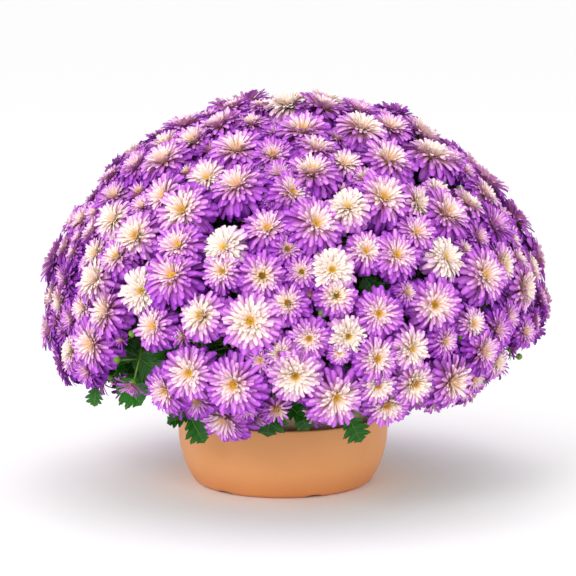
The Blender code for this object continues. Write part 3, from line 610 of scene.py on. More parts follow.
def fromFrontView(marks):
    # the dome's points, on the near side, whose lifted eyes the front view shows at these marks
    turns = np.linspace(-view["lastTurn"], view["lastTurn"], view["turns"])
    turn, index = (grid.ravel() for grid in np.meshgrid(turns, np.arange(crown["samples"])))
    aside, forward = np.sin(turn), -np.cos(turn)
    radius, outward = crownRadius[index], crownOut[index]
    points = np.stack([radius * aside + crown["offset"], radius * forward, crownLevel[index]], 1)
    normals = np.stack([outward * aside, outward * forward, crownUp[index]], 1)
    across, up, toViewer = inFrontView(points + view["eyeHeight"] * normals)
    near = (normals * toViewer).sum(1) > view["limb"] * view["distance"]
    points, across, up = points[near], across[near], up[near]
    places = [(mark[0] / 1000, mark[1] / 1000) for mark in marks]
    return np.array([points[np.hypot(across - aside, up - high).argmin()] for aside, high in places])


def atDepth(across, up, y):
    # the point at this y that the front view shows at across and up, in metres
    sight = view["distance"] * ahead + (across - view["aim"][0])[:, None] * [1, 0, 0]
    sight = sight + (up - view["aimUp"])[:, None] * upward
    return viewer + sight * ((y - viewer[1]) / sight[:, 1])[:, None]


def apart(points):
    # the offset of every pair of points and its length, with 1 on the diagonal
    offset = points[:, None] - points[None]
    return offset, np.linalg.norm(offset, axis=2) + np.eye(len(points))


sidePlace = [onCrown(turn, height) for turn, height, _ in sideWindows]
windowPlace = np.concatenate([fromFrontView(frontWindows), sidePlace])
windowRadius = np.array([size / 1000 for _, _, size in frontWindows] + [size for _, _, size in sideWindows])


def spreadBlooms(random):
    # blooms of unlike sizes push each other over the dome; the front ones and the windows stay, and a loose
    # bloom that the front view would show in a window goes
    fixed = np.concatenate([fromFrontView(frontBlooms), windowPlace])
    reach = np.concatenate([np.array([bloom[2] for bloom in frontBlooms]) / 1000, windowRadius])
    bloom = np.arange(len(fixed)) < len(frontBlooms)
    seen = (crownNormals(fixed) * inFrontView(fixed)[2]).sum(1) / view["distance"]
    grown = reach / np.maximum((1 + seen) / 2, placing["narrowest"])
    reach = np.where(bloom, np.minimum(grown, placing["largest"]), reach)
    radii = np.where(bloom, placing["solidShare"] * reach, reach)
    loose = placing["count"] - len(frontBlooms)
    sizes = random.uniform(*placing["sizes"], loose)
    room = placing["cover"] * crownArea[-1] - math.pi * (radii**2).sum()
    sizes *= math.sqrt(room / (math.pi * (sizes**2).sum()))
    sites = spiralOnCrown(placing["sitesEach"] * loose)
    clear = (np.linalg.norm(sites[:, None] - fixed[None], axis=2) - radii).min(1) > placing["clearance"]
    sites = sites[clear]
    sites = sites[np.linspace(0, len(sites) - 1, loose).round().astype(int)]
    radii = np.concatenate([radii, sizes])
    wanted = radii[:, None] + radii[None] + placing["gap"]
    points = np.concatenate([fixed, sites])
    for _ in range(placing["rounds"]):
        offset, distance = apart(points)
        push = np.clip(wanted - distance, 0, None) / distance
        np.fill_diagonal(push, 0)
        moved = settleOnCrown(points + placing["push"] * (offset * push[:, :, None]).sum(1))
        points = np.concatenate([fixed, moved[len(fixed):]])
    across, up, toViewer = inFrontView(points)
    behind = (crownNormals(points) * toViewer).sum(1) < view["limb"] * view["distance"]
    windows = np.array(frontWindows) / 1000
    fromWindows = np.hypot(across[:, None] - windows[:, 0], up[:, None] - windows[:, 1]) - windows[:, 2]
    keep = behind | (fromWindows > placing["margin"]).all(1)
    keep[:len(fixed)] = bloom
    points, radii = points[keep], radii[keep]
    return points, radii / placing["solidShare"], fitRadii(points, radii)


def fitRadii(points, radii):
    # a pair gives way in proportion to its sizes, and then each in turn takes back what is left
    _, distance = apart(points)
    np.fill_diagonal(distance, 1)
    wanted = radii.copy()
    for _ in range(placing["fitRounds"]):
        pair = radii[:, None] + radii[None]
        over = np.clip(pair + placing["gap"] - distance, 0, None)
        radii = radii - 0.5 * (over * radii[:, None] / pair).max(1)
    for k in np.argsort(-wanted):
        left = distance[k] - placing["gap"] - radii
        left[k] = 1
        radii[k] = min(wanted[k], left.min())
    return radii


def groupBlooms(points):
    # each bloom joins the nearest spray middle; a middle moves to the mean of its blooms
    middles = spiralOnCrown(placing["sprays"])
    for _ in range(placing["groupRounds"]):
        owner = np.linalg.norm(points[:, None] - middles[None], axis=2).argmin(1)
        middles = settleOnCrown(np.array([points[owner == k].mean(0) for k in range(placing["sprays"])]))
    return owner, middles


def facingOf(normal, jitter, tilt):
    # the dome's normal, turned up to the light underneath, plus a random tilt
    lifted = normal * np.where((normal[:, 2:] < 0), [1, 1, 0.25], [1, 1, 1])
    return unit(unit(lifted) + tilt * jitter)


random = np.random.default_rng(placing["seed"])
bloomPoint, bloomReach, bloomRadius = spreadBlooms(random)
owner, middles = groupBlooms(bloomPoint)
bloomNormal = crownNormals(bloomPoint)
total = len(bloomPoint)
jitter = random.normal(0, 1, (total, 3))
spins = random.uniform(0, math.tau, total)
lifts = random.uniform(-placing["heights"], placing["heights"], total)
lifts += placing["rise"] * (bloomReach - bloomReach.mean())
bloomPlace = bloomPoint + bloomNormal * lifts[:, None]
bloomFacing = facingOf(bloomNormal, jitter, placing["tilt"])
middleNormal = crownNormals(middles)
sprayBase = middles - middleNormal * placing["sprayDepth"]
sprayTop = middles - middleNormal * placing["topDepth"]
print("blooms placed:", len(bloomPlace))


petals = {
    "count": 196, "outer": 88, "middle": 138,  # petals of a bloom, and where its two inner groups start
    "few": 52,                                 # petals of a small one
    # an outline: shares of the petal's length, and its width there
    "outerShape": ((0.0, 0.34, 0.66, 0.89, 1.0), (0.30, 0.66, 1.0, 1.0, 0.66)),
    "innerShape": ((0.0, 0.42, 0.84, 1.0), (0.36, 0.84, 1.0, 0.66)),
    # from the outermost petal (0) to the innermost (1); the six lists after it follow these shares
    "share": (0.0, 0.2, 0.45, 0.7, 1.0),
    "start": (-5, 14, 34, 52, 74), "end": (-85, -50, -14, 18, 55), "length": (1.02, 1.0, 0.84, 0.60, 0.34),
    "halfWidth": (0.150, 0.122, 0.086, 0.056, 0.033), "rootLevel": (0.42, 0.30, 0.20, 0.14, 0.10),
    "tipLevel": (1.0, 0.90, 0.62, 0.36, 0.20),
    # where a petal starts, out from the middle and up: the outermost one, and how much more the innermost
    "rootOut": (0.10, 0.02), "rootUp": (-0.14, 0.18),
    "shut": 62, "cup": 0.42, "twist": 0.42, "bend": 0.08, "tipReach": 0.045,
    # how unlike the petals are in turn, start and end (degrees), length, width, cup and level
    "unlike": {
        "turn": 0.06, "start": 4, "end": 11, "length": 0.065, "width": 0.08, "cup": 0.12, "level": 0.05,
    },
    "whitest": 0.36, "youngest": 0.22,  # paleness of a white bloom, and how far a young one is shut
    "palest": 0.22,                     # a petal's lowest level before the eye's glow
}


def petalSheets(form, span, outline, cols, random):
    # petal k leaves the middle at k golden angles; s runs 0..1 from the outermost to the innermost petal.
    # its midline turns from angle f0(s) to f1(s) above the bloom's plane:
    # (r, z) = (r0, z0) + L * integral (cos f, sin f) du.
    # a point is midline(u) + v w(u) sideways + cup |v| w(u) along the normal, turned by a small twist
    place, facing, radius, spin, openness, depth, count = form
    look, unlike = petals, petals["unlike"]
    k = np.arange(*span)
    s = (k + 0.5) / count
    shape = (len(radius), len(k))

    def byShare(name):
        return np.interp(s, look["share"], look[name])

    turn = spin[:, None] + k * goldenAngle + random.normal(0, unlike["turn"], shape)
    shut = (1 - openness)[:, None] * look["shut"]
    start = byShare("start") + 0.5 * shut + random.normal(0, unlike["start"], shape)
    end = byShare("end") + shut + random.normal(0, unlike["end"], shape)
    length = byShare("length") * (1 + random.normal(0, unlike["length"], shape))
    halfWidth = byShare("halfWidth") * (1 + random.normal(0, unlike["width"], shape))
    cup = look["cup"] * (0.45 + 0.8 * s) + random.normal(0, unlike["cup"], shape)
    twist = random.normal(0, look["twist"], shape)
    bend = random.normal(0, look["bend"], shape)
    notch = random.uniform(0.0, 1.0, shape)
    seed = random.uniform(0, 1, shape)

    u, widths = np.array(outline[0]), np.array(outline[1])
    middle = (u[1:] + u[:-1]) / 2
    lean = np.radians(start[..., None] + (end - start)[..., None] * u**1.2)
    leanMiddle = np.radians(start[..., None] + (end - start)[..., None] * middle**1.2)
    step = np.diff(u) * length[..., None]
    zero = np.zeros((*shape, 1))
    (rootOut, moreOut), (rootUp, moreUp) = look["rootOut"], look["rootUp"]
    outward, upwards = np.cumsum(np.cos(leanMiddle) * step, -1), np.cumsum(np.sin(leanMiddle) * step, -1)
    r = (rootOut + moreOut * s)[:, None] + np.concatenate([zero, outward], -1)
    z = (rootUp + moreUp * s)[:, None] + np.concatenate([zero, upwards], -1)

    v = np.linspace(-1, 1, cols)
    width = widths * halfWidth[..., None]
    side = v * width[..., None] + (bend * length)[..., None, None] * (u**2)[:, None]
    lift = np.abs(v) * (cup[..., None] * width)[..., None]
    angle = (twist[..., None] * u)[..., None]
    side, lift = side * np.cos(angle) - lift * np.sin(angle), side * np.sin(angle) + lift * np.cos(angle)
    tipLength = length * look["tipReach"] * (1 - 1.5 * notch)
    tip = (1 - np.abs(v)) * (u == 1)[:, None] * tipLength[..., None, None]
    out = r[..., None] - lift * np.sin(lean)[..., None] + tip * np.cos(lean)[..., None]
    high = z[..., None] + lift * np.cos(lean)[..., None] + tip * np.sin(lean)[..., None]
    a = turn[..., None, None]
    local = np.stack([out * np.cos(a) - side * np.sin(a), out * np.sin(a) + side * np.cos(a), high], -1)
    turned = np.einsum("bij,bnrcj->bnrci", axesFor(facing), local)
    points = place[:, None, None, None] + radius[:, None, None, None, None] * turned

    # the tone's level rises from the petal's root to its tip, less where the eye glows through
    along = np.broadcast_to(u[:, None], out.shape)
    rise = smoothStep(0.1, 0.95, along)
    level = blend(byShare("rootLevel")[:, None, None], byShare("tipLevel")[:, None, None], rise)
    level = level + depth[:, None, None, None] + random.normal(0, unlike["level"], shape)[..., None, None]
    young = np.clip((1 - openness) / look["youngest"], 0, 1)[:, None, None, None]
    glow = (1 - smoothStep(0, 0.6 + 0.4 * young, along)) * smoothStep(0.35, 0.9, s)[:, None, None]
    level = np.maximum(level, look["palest"]) - (0.12 + 0.14 * young) * glow
    # painted shade: the tone's second number darkens the petal's root, down among the other petals, less on
    # the inner petals and on white blooms
    white = np.clip(-depth / look["whitest"], 0, 1)[:, None, None, None]
    inner = blend(1.0, 0.55, smoothStep(0.2, 0.8, s))[:, None, None]
    root = (1 - smoothStep(0.30, 0.88, along)) * inner * (1 - 0.7 * white)
    tone = np.stack([level, root, np.broadcast_to(seed[..., None, None], out.shape)], -1)
    return sheetPart(points, u, v, tone, 0)


florets = {"count": 22, "reach": 0.125, "size": 0.023, "height": 0.075, "low": 0.045, "lean": 1.12}


def eyeFlorets(place, facing, radius, youth, random):
    # floret k: a four-sided point at r = reach sqrt((k + 1/2) / n) and k golden angles
    look = florets
    count = look["count"]
    k = np.arange(count)
    out = np.sqrt((k + 0.5) / count)
    centre = np.stack([out * np.cos(k * goldenAngle), out * np.sin(k * goldenAngle)], -1) * look["reach"]
    corner = np.array([[-1, -1], [1, -1], [1, 1], [-1, 1]]) * look["size"]
    base = np.concatenate([centre[:, None] + corner, np.full((count, 4, 1), 0.03)], -1)
    height = look["low"] + look["height"] * (1 - 0.45 * out**2)
    tip = np.concatenate([centre * look["lean"], height[:, None]], 1)
    local = np.concatenate([base, tip[:, None]], 1)
    local = np.broadcast_to(local, (len(radius), *local.shape)).copy()
    scale = radius * (1 + 0.5 * youth)
    turned = np.einsum("bij,bfcj->bfci", axesFor(facing), local)
    points = place[:, None, None] + scale[:, None, None, None] * turned
    faces = np.array([[0, 1, 4], [1, 2, 4], [2, 3, 4], [3, 0, 4]])
    seed = random.uniform(0, 1, (len(radius), count, 1))
    numbers = (out[:, None], youth[:, None, None], seed)
    tone = np.stack([np.broadcast_to(number, (len(radius), count, 5)) for number in numbers], -1)
    copies = len(radius) * count
    uv = np.tile([[0, 0], [1, 0], [1, 1], [0, 1], [0.5, 0.5]], (copies, 1))
    return partOf(points, [repeated(faces, copies, 5)], uv, tone, 1)


calyx = {
    "profile": [
        (0, 0.045), (0.11, 0.030), (0.22, -0.05), (0.27, -0.10),
        (0.255, -0.17), (0.17, -0.27), (0.065, -0.345), (0, -0.36),
    ],
    "sides": 9, "foot": 0.345,
    "stalkRadius": 0.00095, "stalkSides": 5, "stalkPoints": 7, "stalkBends": (0.4, 0.35),
}


def tonesOf(light, random):
    # tone vectors: the lightness, 0 and a random number
    return np.stack([light, np.zeros(len(light)), random.uniform(0, 1, len(light))], -1)


def stalkPaths(foot, facing, root, bends, points):
    # cubics from each foot to its root; their handles are shares of the gap, against facing and straight on
    gap = np.linalg.norm(foot - root, axis=1, keepdims=True)
    leaving, arriving = foot - facing * bends[0] * gap, root + unit(foot - root) * bends[1] * gap
    return cubic(foot, leaving, arriving, root, points)


def calyxAndStalks(place, facing, radius, root, light, random):
    # a cup under each bloom, and a stalk on a cubic from its foot back to the spray's stem
    tone = tonesOf(light, random)
    cups = lathe(calyx["profile"], calyx["sides"], tone, 2, place, axesFor(facing), radius)
    foot = place - facing * (calyx["foot"] * radius)[:, None]
    paths = stalkPaths(foot, facing, root, calyx["stalkBends"], calyx["stalkPoints"])
    return [cups, tubes(paths, calyx["stalkRadius"], calyx["stalkSides"], tone, 2)]


small = {
    "seed": 5, "count": 80, "sizes": (0.0070, 0.0130), "sunk": 0.005, "tilt": 0.35,
    "halfOpen": 0.45, "young": 0.28, "openness": (0.10, 0.60, 0.0, -0.30),
    "spots": 1400, "cover": 0.90, "growth": 1.25, "apart": 1.3, "reach": 1.2,
}
# small ones that the front view shows: across, up, reach (mm) and kind (0 half-open, 1 young,
# 2 green bud, 3 closed and pink)
frontSmall = [
    (29, 183, 10, 0), (-64, 189, 6, 0), (-62, 170, 8, 1), (137, 249, 9, 0), (121, 254, 9, 0),
    (235, 181, 7, 0), (-190, 95, 8, 3), (121, 171, 5, 2), (40, 165, 5, 2), (152, 251, 4, 2),
    (-159, 143, 5, 2), (-180, 91, 4, 2), (-215, 93, 5, 2), (187, 141, 4, 2),
]


def smallOnes():
    # those of the front view, then the widest gaps between the blooms filled one by one
    rng = np.random.default_rng(small["seed"])
    spots = spiralOnCrown(small["spots"])
    room = (np.linalg.norm(spots[:, None] - bloomPoint[None], axis=2) - visible * small["cover"]).min(1)
    closed = np.linalg.norm(spots[:, None] - windowPlace[None], axis=2) < windowRadius * small["cover"]
    room = np.where(closed.any(1), 0.0, room)
    chosen = [(*place, mark[2] / 1000) for place, mark in zip(fromFrontView(frontSmall), frontSmall)]
    for _ in range(small["count"]):
        best = int(room.argmax())
        size = float(np.clip(room[best] * small["growth"], *small["sizes"]))
        chosen.append((*spots[best], size))
        room = np.minimum(room, np.linalg.norm(spots - spots[best], axis=1) - size * small["apart"])
    chosen = np.array(chosen)
    normal = crownNormals(chosen[:, :3])
    draw = rng.uniform(0, 1, len(chosen))
    kind = np.where(draw < small["halfOpen"], 0, np.where(draw < small["halfOpen"] + small["young"], 1, 2))
    kind[:len(frontSmall)] = [mark[3] for mark in frontSmall]
    facing = facingOf(normal, rng.normal(0, 1, (len(chosen), 3)), small["tilt"])
    return chosen[:, :3] - normal * small["sunk"], facing, chosen[:, 3], kind


buds = {
    "profile": [
        (0, 0.98), (0.34, 0.92), (0.66, 0.70), (0.90, 0.34), (1.0, 0.0),
        (0.92, -0.38), (0.62, -0.72), (0.22, -0.95), (0, -1.0),
    ],
    "sides": 10, "size": 0.0038, "sizes": (0.8, 1.25), "ribs": 0.06,
    "stalkRadius": 0.0008, "stalkSides": 5, "stalkPoints": 6, "stalkBends": (0.4, 0.3),
}
stems = {"radius": (0.0032, 0.0027), "points": 4, "sides": 8, "light": 0.35}


def rootsOnStem(place, spray, reach):
    # where a stalk leaves the spray's stem: the outer ones lower down
    out = np.minimum(1, np.linalg.norm(place - middles[spray], axis=1) / reach)
    return blend(sprayBase[spray], sprayTop[spray], (0.12 + 0.80 * (1 - out))[:, None])


def bloomParts(spray, reach, random):
    # the spray's blooms: three groups of petals, florets, calyces and stalks
    mine = np.flatnonzero(owner == spray)
    place, facing, radius = bloomPlace[mine], bloomFacing[mine], visible[mine]
    form = (place, facing, radius, spins[mine], openness[mine], depth[mine], petals["count"])
    parts = [
        petalSheets(form, (0, petals["outer"]), petals["outerShape"], 3, random),
        petalSheets(form, (petals["outer"], petals["middle"]), petals["innerShape"], 3, random),
        petalSheets(form, (petals["middle"], petals["count"]), petals["innerShape"], 2, random),
        eyeFlorets(place, facing, radius, youth[mine], random),
    ]
    light = random.uniform(0.3, 0.8, len(mine))
    return parts + calyxAndStalks(place, facing, radius, rootsOnStem(place, spray, reach), light, random)


def smallParts(spray, reach, random):
    # the spray's half-open, young and closed ones, each a bloom of few petals
    mine = np.flatnonzero((smallOwner == spray) & (smallKind != 2))
    if not len(mine):
        return []
    place, facing = smallPlace[mine], smallFacing[mine]
    size = smallRadius[mine] * small["reach"]
    wide = np.array(small["openness"])[smallKind[mine]]
    spin = random.uniform(0, math.tau, len(mine))
    form = (place, facing, size, spin, wide, random.uniform(-0.12, 0.12, len(mine)), petals["few"])
    parts = [petalSheets(form, (0, petals["few"]), petals["innerShape"], 3, random)]
    parts.append(eyeFlorets(place, facing, size, random.uniform(0.7, 1.2, len(mine)), random))
    light = random.uniform(0.4, 0.9, len(mine))
    return parts + calyxAndStalks(place, facing, size, rootsOnStem(place, spray, reach), light, random)


def budParts(spray, reach, random):
    # the spray's green buds: ribbed knobs on thin stalks
    mine = np.flatnonzero((smallOwner == spray) & (smallKind == 2))
    if not len(mine):
        return []
    place, facing = smallPlace[mine], smallFacing[mine]
    size = buds["size"] * random.uniform(*buds["sizes"], len(mine))
    tone = tonesOf(random.uniform(0.25, 0.7, len(mine)), random)
    knobs = lathe(buds["profile"], buds["sides"], tone, 2, place, axesFor(facing), size, buds["ribs"])
    foot = place - facing * size[:, None] * 0.9
    root = rootsOnStem(place, spray, reach)
    paths = stalkPaths(foot, facing, root, buds["stalkBends"], buds["stalkPoints"])
    return [knobs, tubes(paths, buds["stalkRadius"], buds["stalkSides"], tone, 2)]


blooms = {
    "seed": 29,
    "depth": (0.12, 0.0, -0.15, -0.36), "toneShares": (0.26, 0.46, 0.22, 0.06),  # deep, lilac, pale, white
    "youth": (0.05, 0.45, 1.0), "eyeShares": (0.68, 0.18, 0.14),                 # ripe, between, young
}
random = np.random.default_rng(blooms["seed"])
tone = random.choice(4, total, p=blooms["toneShares"])
eye = random.choice(3, total, p=blooms["eyeShares"])
tone[:len(frontBlooms)] = [bloom[3] for bloom in frontBlooms]
eye[:len(frontBlooms)] = [bloom[4] for bloom in frontBlooms]
depth = np.array(blooms["depth"])[tone] + random.normal(0, 0.03, total)
youth = np.array(blooms["youth"])[eye] + random.uniform(-0.05, 0.05, total)
openness = 1.0 - 0.22 * youth + random.normal(0, 0.05, total)
visible = np.clip(bloomReach, 1.12 * bloomRadius, np.minimum(2.1 * bloomRadius, placing["largest"]))
smallPlace, smallFacing, smallRadius, smallKind = smallOnes()
smallOwner = np.linalg.norm(smallPlace[:, None] - middles[None], axis=2).argmin(1)

for spray in range(placing["sprays"]):
    reach = np.linalg.norm(bloomPlace[owner == spray] - middles[spray], axis=1).max()
    parts = bloomParts(spray, reach, random) + smallParts(spray, reach, random)
    parts += budParts(spray, reach, random)
    stem = blend(sprayBase[spray], sprayTop[spray], np.linspace(0, 1, stems["points"])[:, None])
    thickness = np.linspace(*stems["radius"], stems["points"])
    parts.append(tubes(stem[None], thickness, stems["sides"], [[stems["light"], 0, 0.5]], 2))
    finishes = [petalMaterial, eyeMaterial, stemMaterial]
    makePiece(f"bloomSpray{spray + 1:02d}", parts, finishes, [f"spray_{spray + 1:02d}"])
print("sprays made, triangles so far:", counts["triangles"])


shoots = {
    "radius": 0.0030, "sides": 8, "light": 0.3, "spread": 0.076, "mixTop": 0.081, "holeDepth": 0.030,
    "straight": 0.006, "points": 16, "seed": 8,
    # leaves that the solids share: place along the stem, turn, droop, length; then the one of a high
    # shoot, whose turn is the shoot's own
    "lowLeaves": [(0.58, -0.75, 0.55, 0.060), (0.66, 0.0, 0.70, 0.058), (0.54, 0.75, 0.55, 0.060)],
    "highLeaf": (0.50, 0.15, 0.062), "tries": 24, "turnStep": 0.26, "near": 0.003,
    "layer": 330, "layerDepth": (0.022, 0.046), "layerLength": (0.046, 0.066), "layerTilt": 0.45,
}
leaves = {
    "petiole": 0.22, "lobes": 4, "lobeDepth": 0.40, "teeth": 0.14, "slant": 0.62, "widthShare": 0.36,
    "fine": (37, 9), "plain": (13, 5),  # rows and columns of points
}


def leafSheets(base, heading, up, length, width, droop, fold, light, grid, random):
    # row t of the blade is a chevron, with n lobes, L the length and p the petiole's share of it:
    # x = L (p + (1 - p) t) + 0.8 slant |y| that fades at the tip, y = v w(t),
    # z = fold |y| - droop x^2 / L + a wave
    # half width w = width sin(pi t^0.75)^0.75 (1 - depth cos(pi n t)^4) (1 - teeth cos(3 pi n t)^2)
    look = leaves
    n, foot = look["lobes"], look["petiole"]
    t = np.linspace(0, 1, grid[0])
    envelope = np.sin(math.pi * np.clip(t, 0, 1) ** 0.75) ** 0.75
    envelope[-1] = 0.0
    lobes = 1 - look["lobeDepth"] * np.cos(math.pi * n * t) ** 4
    lobed = lobes * (1 - look["teeth"] * np.abs(np.cos(3 * math.pi * n * t)) ** 2)
    row = np.concatenate([[0, 0.55 * foot, 0.9 * foot], foot + (1 - foot) * t[1:]])
    half = np.concatenate([[0.020, 0.022, 0.05], (envelope * lobed)[1:]])
    tBlade = np.concatenate([[0, 0, 0], t[1:]])
    v = np.linspace(-1, 1, grid[1])
    y = v * (half * width[:, None])[..., None]
    slant = look["slant"] * (row > foot)
    taper = 1 - smoothStep(0.80, 1.0, row)
    x = (row * length[:, None])[..., None] + (slant * taper)[:, None] * np.abs(y) * 0.8
    wave = 0.05 * np.sin(2 * math.pi * n * tBlade)[:, None] * np.abs(v) ** 2 * width[:, None, None]
    z = fold[:, None, None] * np.abs(y) - (droop / length)[:, None, None] * x * x + wave
    points = base[:, None, None]
    for amount, axis in ((x, heading), (y, unit(np.cross(heading, up))), (z, up)):
        points = points + amount[..., None] * axis[:, None, None]
    tone = np.broadcast_to(tonesOf(light, random)[:, None], (len(length), len(row) * len(v), 3))
    return sheetPart(points, tBlade, v, tone, 1)


def upOf(heading, roll):
    # the level side vector's cross product with heading, rolled round heading
    side = unit(np.cross(heading, [0.0, 0.0, 1.0]) + [1e-5, 0, 0])
    up = np.cross(side, heading)
    return unit(up * np.cos(roll)[:, None] + side * np.sin(roll)[:, None])


def shootPath(k):
    # from the hole in the mix on a cubic to the base of the spray, then straight
    middle, normal = middles[k], middleNormal[k]
    turn = math.atan2(middle[1], middle[0])
    share = (math.hypot(middle[0], middle[1]) / crown["radius"]) ** 0.9
    if middle[2] < crown["widest"]:
        share = 1.0
    start = np.array([math.cos(turn), math.sin(turn), 0]) * shoots["spread"] * share
    start[2] = shoots["mixTop"] - 0.001 - shoots["holeDepth"]
    surface = start + [0, 0, shoots["holeDepth"] + 0.006]
    end = middle - normal * (placing["sprayDepth"] + placing["fit"])
    straight = end - normal * shoots["straight"]
    rise = np.linalg.norm(straight - surface)
    curve = (surface, surface + [0, 0, 0.35 * rise], straight - normal * 0.30 * rise, straight)
    return start, curve, end


def solidLeaves(k, start, curve, end):
    # the leaves that the shoot's solid has: root on its five-point path, heading found among the turns
    # that the rule tries
    low = middles[k][2] < crown["widest"] + 0.02
    path = np.concatenate([[start], cubic(*curve, 3), [end]])
    outward = unit(np.array([end[0], end[1], 0.0]))
    share, droop, length = shoots["highLeaf"]
    rules = shoots["lowLeaves"] if low else [(share, k * goldenAngle, droop, length)]
    solid = np.array([v.co for v in nodes[f"shoot_{k + 1:02d}"].data.vertices])
    found = []
    for share, turn, droop, length in rules:
        at = share * 2 + 1
        step = int(at)
        root = blend(path[step], path[step + 1], at - step)
        along = unit(path[step + 1] - path[step])
        tries = np.arange(shoots["tries"])
        swing = turn + (tries + 1) // 2 * np.where(tries % 2 == 1, shoots["turnStep"], -shoots["turnStep"])
        cos, sin, zero = np.cos(swing), np.sin(swing), np.zeros(len(tries))
        level = np.stack([cos * outward[0] - sin * outward[1], sin * outward[0] + cos * outward[1], zero], -1)
        heading = unit(level + (0.15 if low else 0.9) * along)
        up = upOf(heading, zero)
        tips = root + heading * length - up * droop * length
        gap = np.linalg.norm(tips[:, None] - solid[None], axis=2).min(1)
        best = int(gap.argmin())
        if gap[best] < shoots["near"]:
            found.append((root, heading[best], up[best], length, droop))
    return found


def layerLeaves(random):
    # leaves spread evenly a little under the dome: their middles on the spiral, their feet back towards
    # the nearest stem
    count = shoots["layer"]
    surface = spiralOnCrown(count)
    normal = crownNormals(surface)
    depth = random.uniform(*shoots["layerDepth"], count)
    site = surface - normal * depth[:, None]
    stem = np.linalg.norm(surface[:, None] - middles[None], axis=2).argmin(1)
    length = random.uniform(*shoots["layerLength"], count)
    away = surface - middles[stem]
    away = unit(away - (away * normal).sum(1, keepdims=True) * normal) + random.normal(0, 0.55, (count, 3))
    lift = normal * random.uniform(-0.05, 0.35, (count, 1))
    heading = unit(away - (away * normal).sum(1, keepdims=True) * normal + lift)
    up = normal + random.normal(0, shoots["layerTilt"], (count, 3))
    up = unit(up - (up * heading).sum(1, keepdims=True) * heading)
    base = site - heading * (0.55 * length)[:, None]
    return base, heading, up, length, stem


# leaves that the front view shows: across and up to the middle (mm), y (mm), the way it points
# (degrees, 90 = up), roll towards the light, length (mm), width over length, lightness
frontLeaves = [
    (-155, 90, -140, -52, 0.3, 40, 0.44, 1.0), (-166, 112, -132, -160, -0.3, 36, 0.42, 0.75),
    (-147, 100, -125, -75, 0.5, 40, 0.42, 0.45), (-140, 120, -120, 200, 0.2, 44, 0.40, 0.55),
    (-122, 104, -118, -30, -0.4, 40, 0.40, 0.35), (-14, 66, -150, -98, 0.1, 46, 0.46, 0.50),
    (7, 72, -142, -25, -0.2, 38, 0.44, 0.65), (19, 60, -138, -70, 0.4, 26, 0.42, 0.55),
    (70, 52, -132, -62, 0.2, 34, 0.44, 0.75), (82, 74, -128, -20, -0.3, 38, 0.42, 0.45),
    (-88, 52, -128, -60, 0.2, 36, 0.42, 0.75), (-100, 62, -120, 190, 0.1, 32, 0.42, 0.45),
    (184, 137, -110, -85, 0.3, 40, 0.40, 0.40), (187, 120, -100, -110, -0.2, 42, 0.42, 0.60),
    (-66, 130, -190, -80, 0.2, 30, 0.40, 0.45), (86, 193, -195, -60, 0.3, 34, 0.40, 0.40),
    (-188, 84, -120, -100, 0.2, 24, 0.42, 0.70),
]


def viewLeaves():
    # heading = cos(a) across + sin(a) up, and the upper face looks at the viewer and to the light above,
    # rolled round the heading; a leaf hangs on the nearest point of the stems, where a point above the
    # leaf counts as further away by twice its height
    table = np.array(frontLeaves, float)
    middle = atDepth(table[:, 0] / 1000, table[:, 1] / 1000, table[:, 2] / 1000)
    angle = np.radians(table[:, 3])
    heading = unit(np.cos(angle)[:, None] * [1, 0, 0] + np.sin(angle)[:, None] * upward - [0, 0.25, 0])
    face = np.array([0, -0.75, 0.66])
    face = unit(face - (heading @ face)[:, None] * heading)
    up = face * np.cos(table[:, 4])[:, None] + np.cross(heading, face) * np.sin(table[:, 4])[:, None]
    length = table[:, 5] / 1000
    base = middle - heading * (0.5 * length)[:, None]
    sprays = np.arange(placing["sprays"])
    upper = np.linspace(0, 1, 12)[:, None, None] * (sprayTop - sprayBase) + sprayBase
    lower = [cubic(*shootPath(k)[1], 12) for k in sprays]
    onStems = np.concatenate([upper.reshape(-1, 3), np.concatenate(lower)])
    stem = np.concatenate([np.tile(sprays, 12), np.repeat(sprays, 12)])
    above = np.clip(onStems[None, :, 2] - base[:, None, 2], 0, None)
    gap = np.linalg.norm(base[:, None] - onStems[None], axis=2) + 2 * above
    nearest = gap.argmin(1)
    return base, heading, up, length, table[:, 6] * length, table[:, 7], stem[nearest], onStems[nearest]


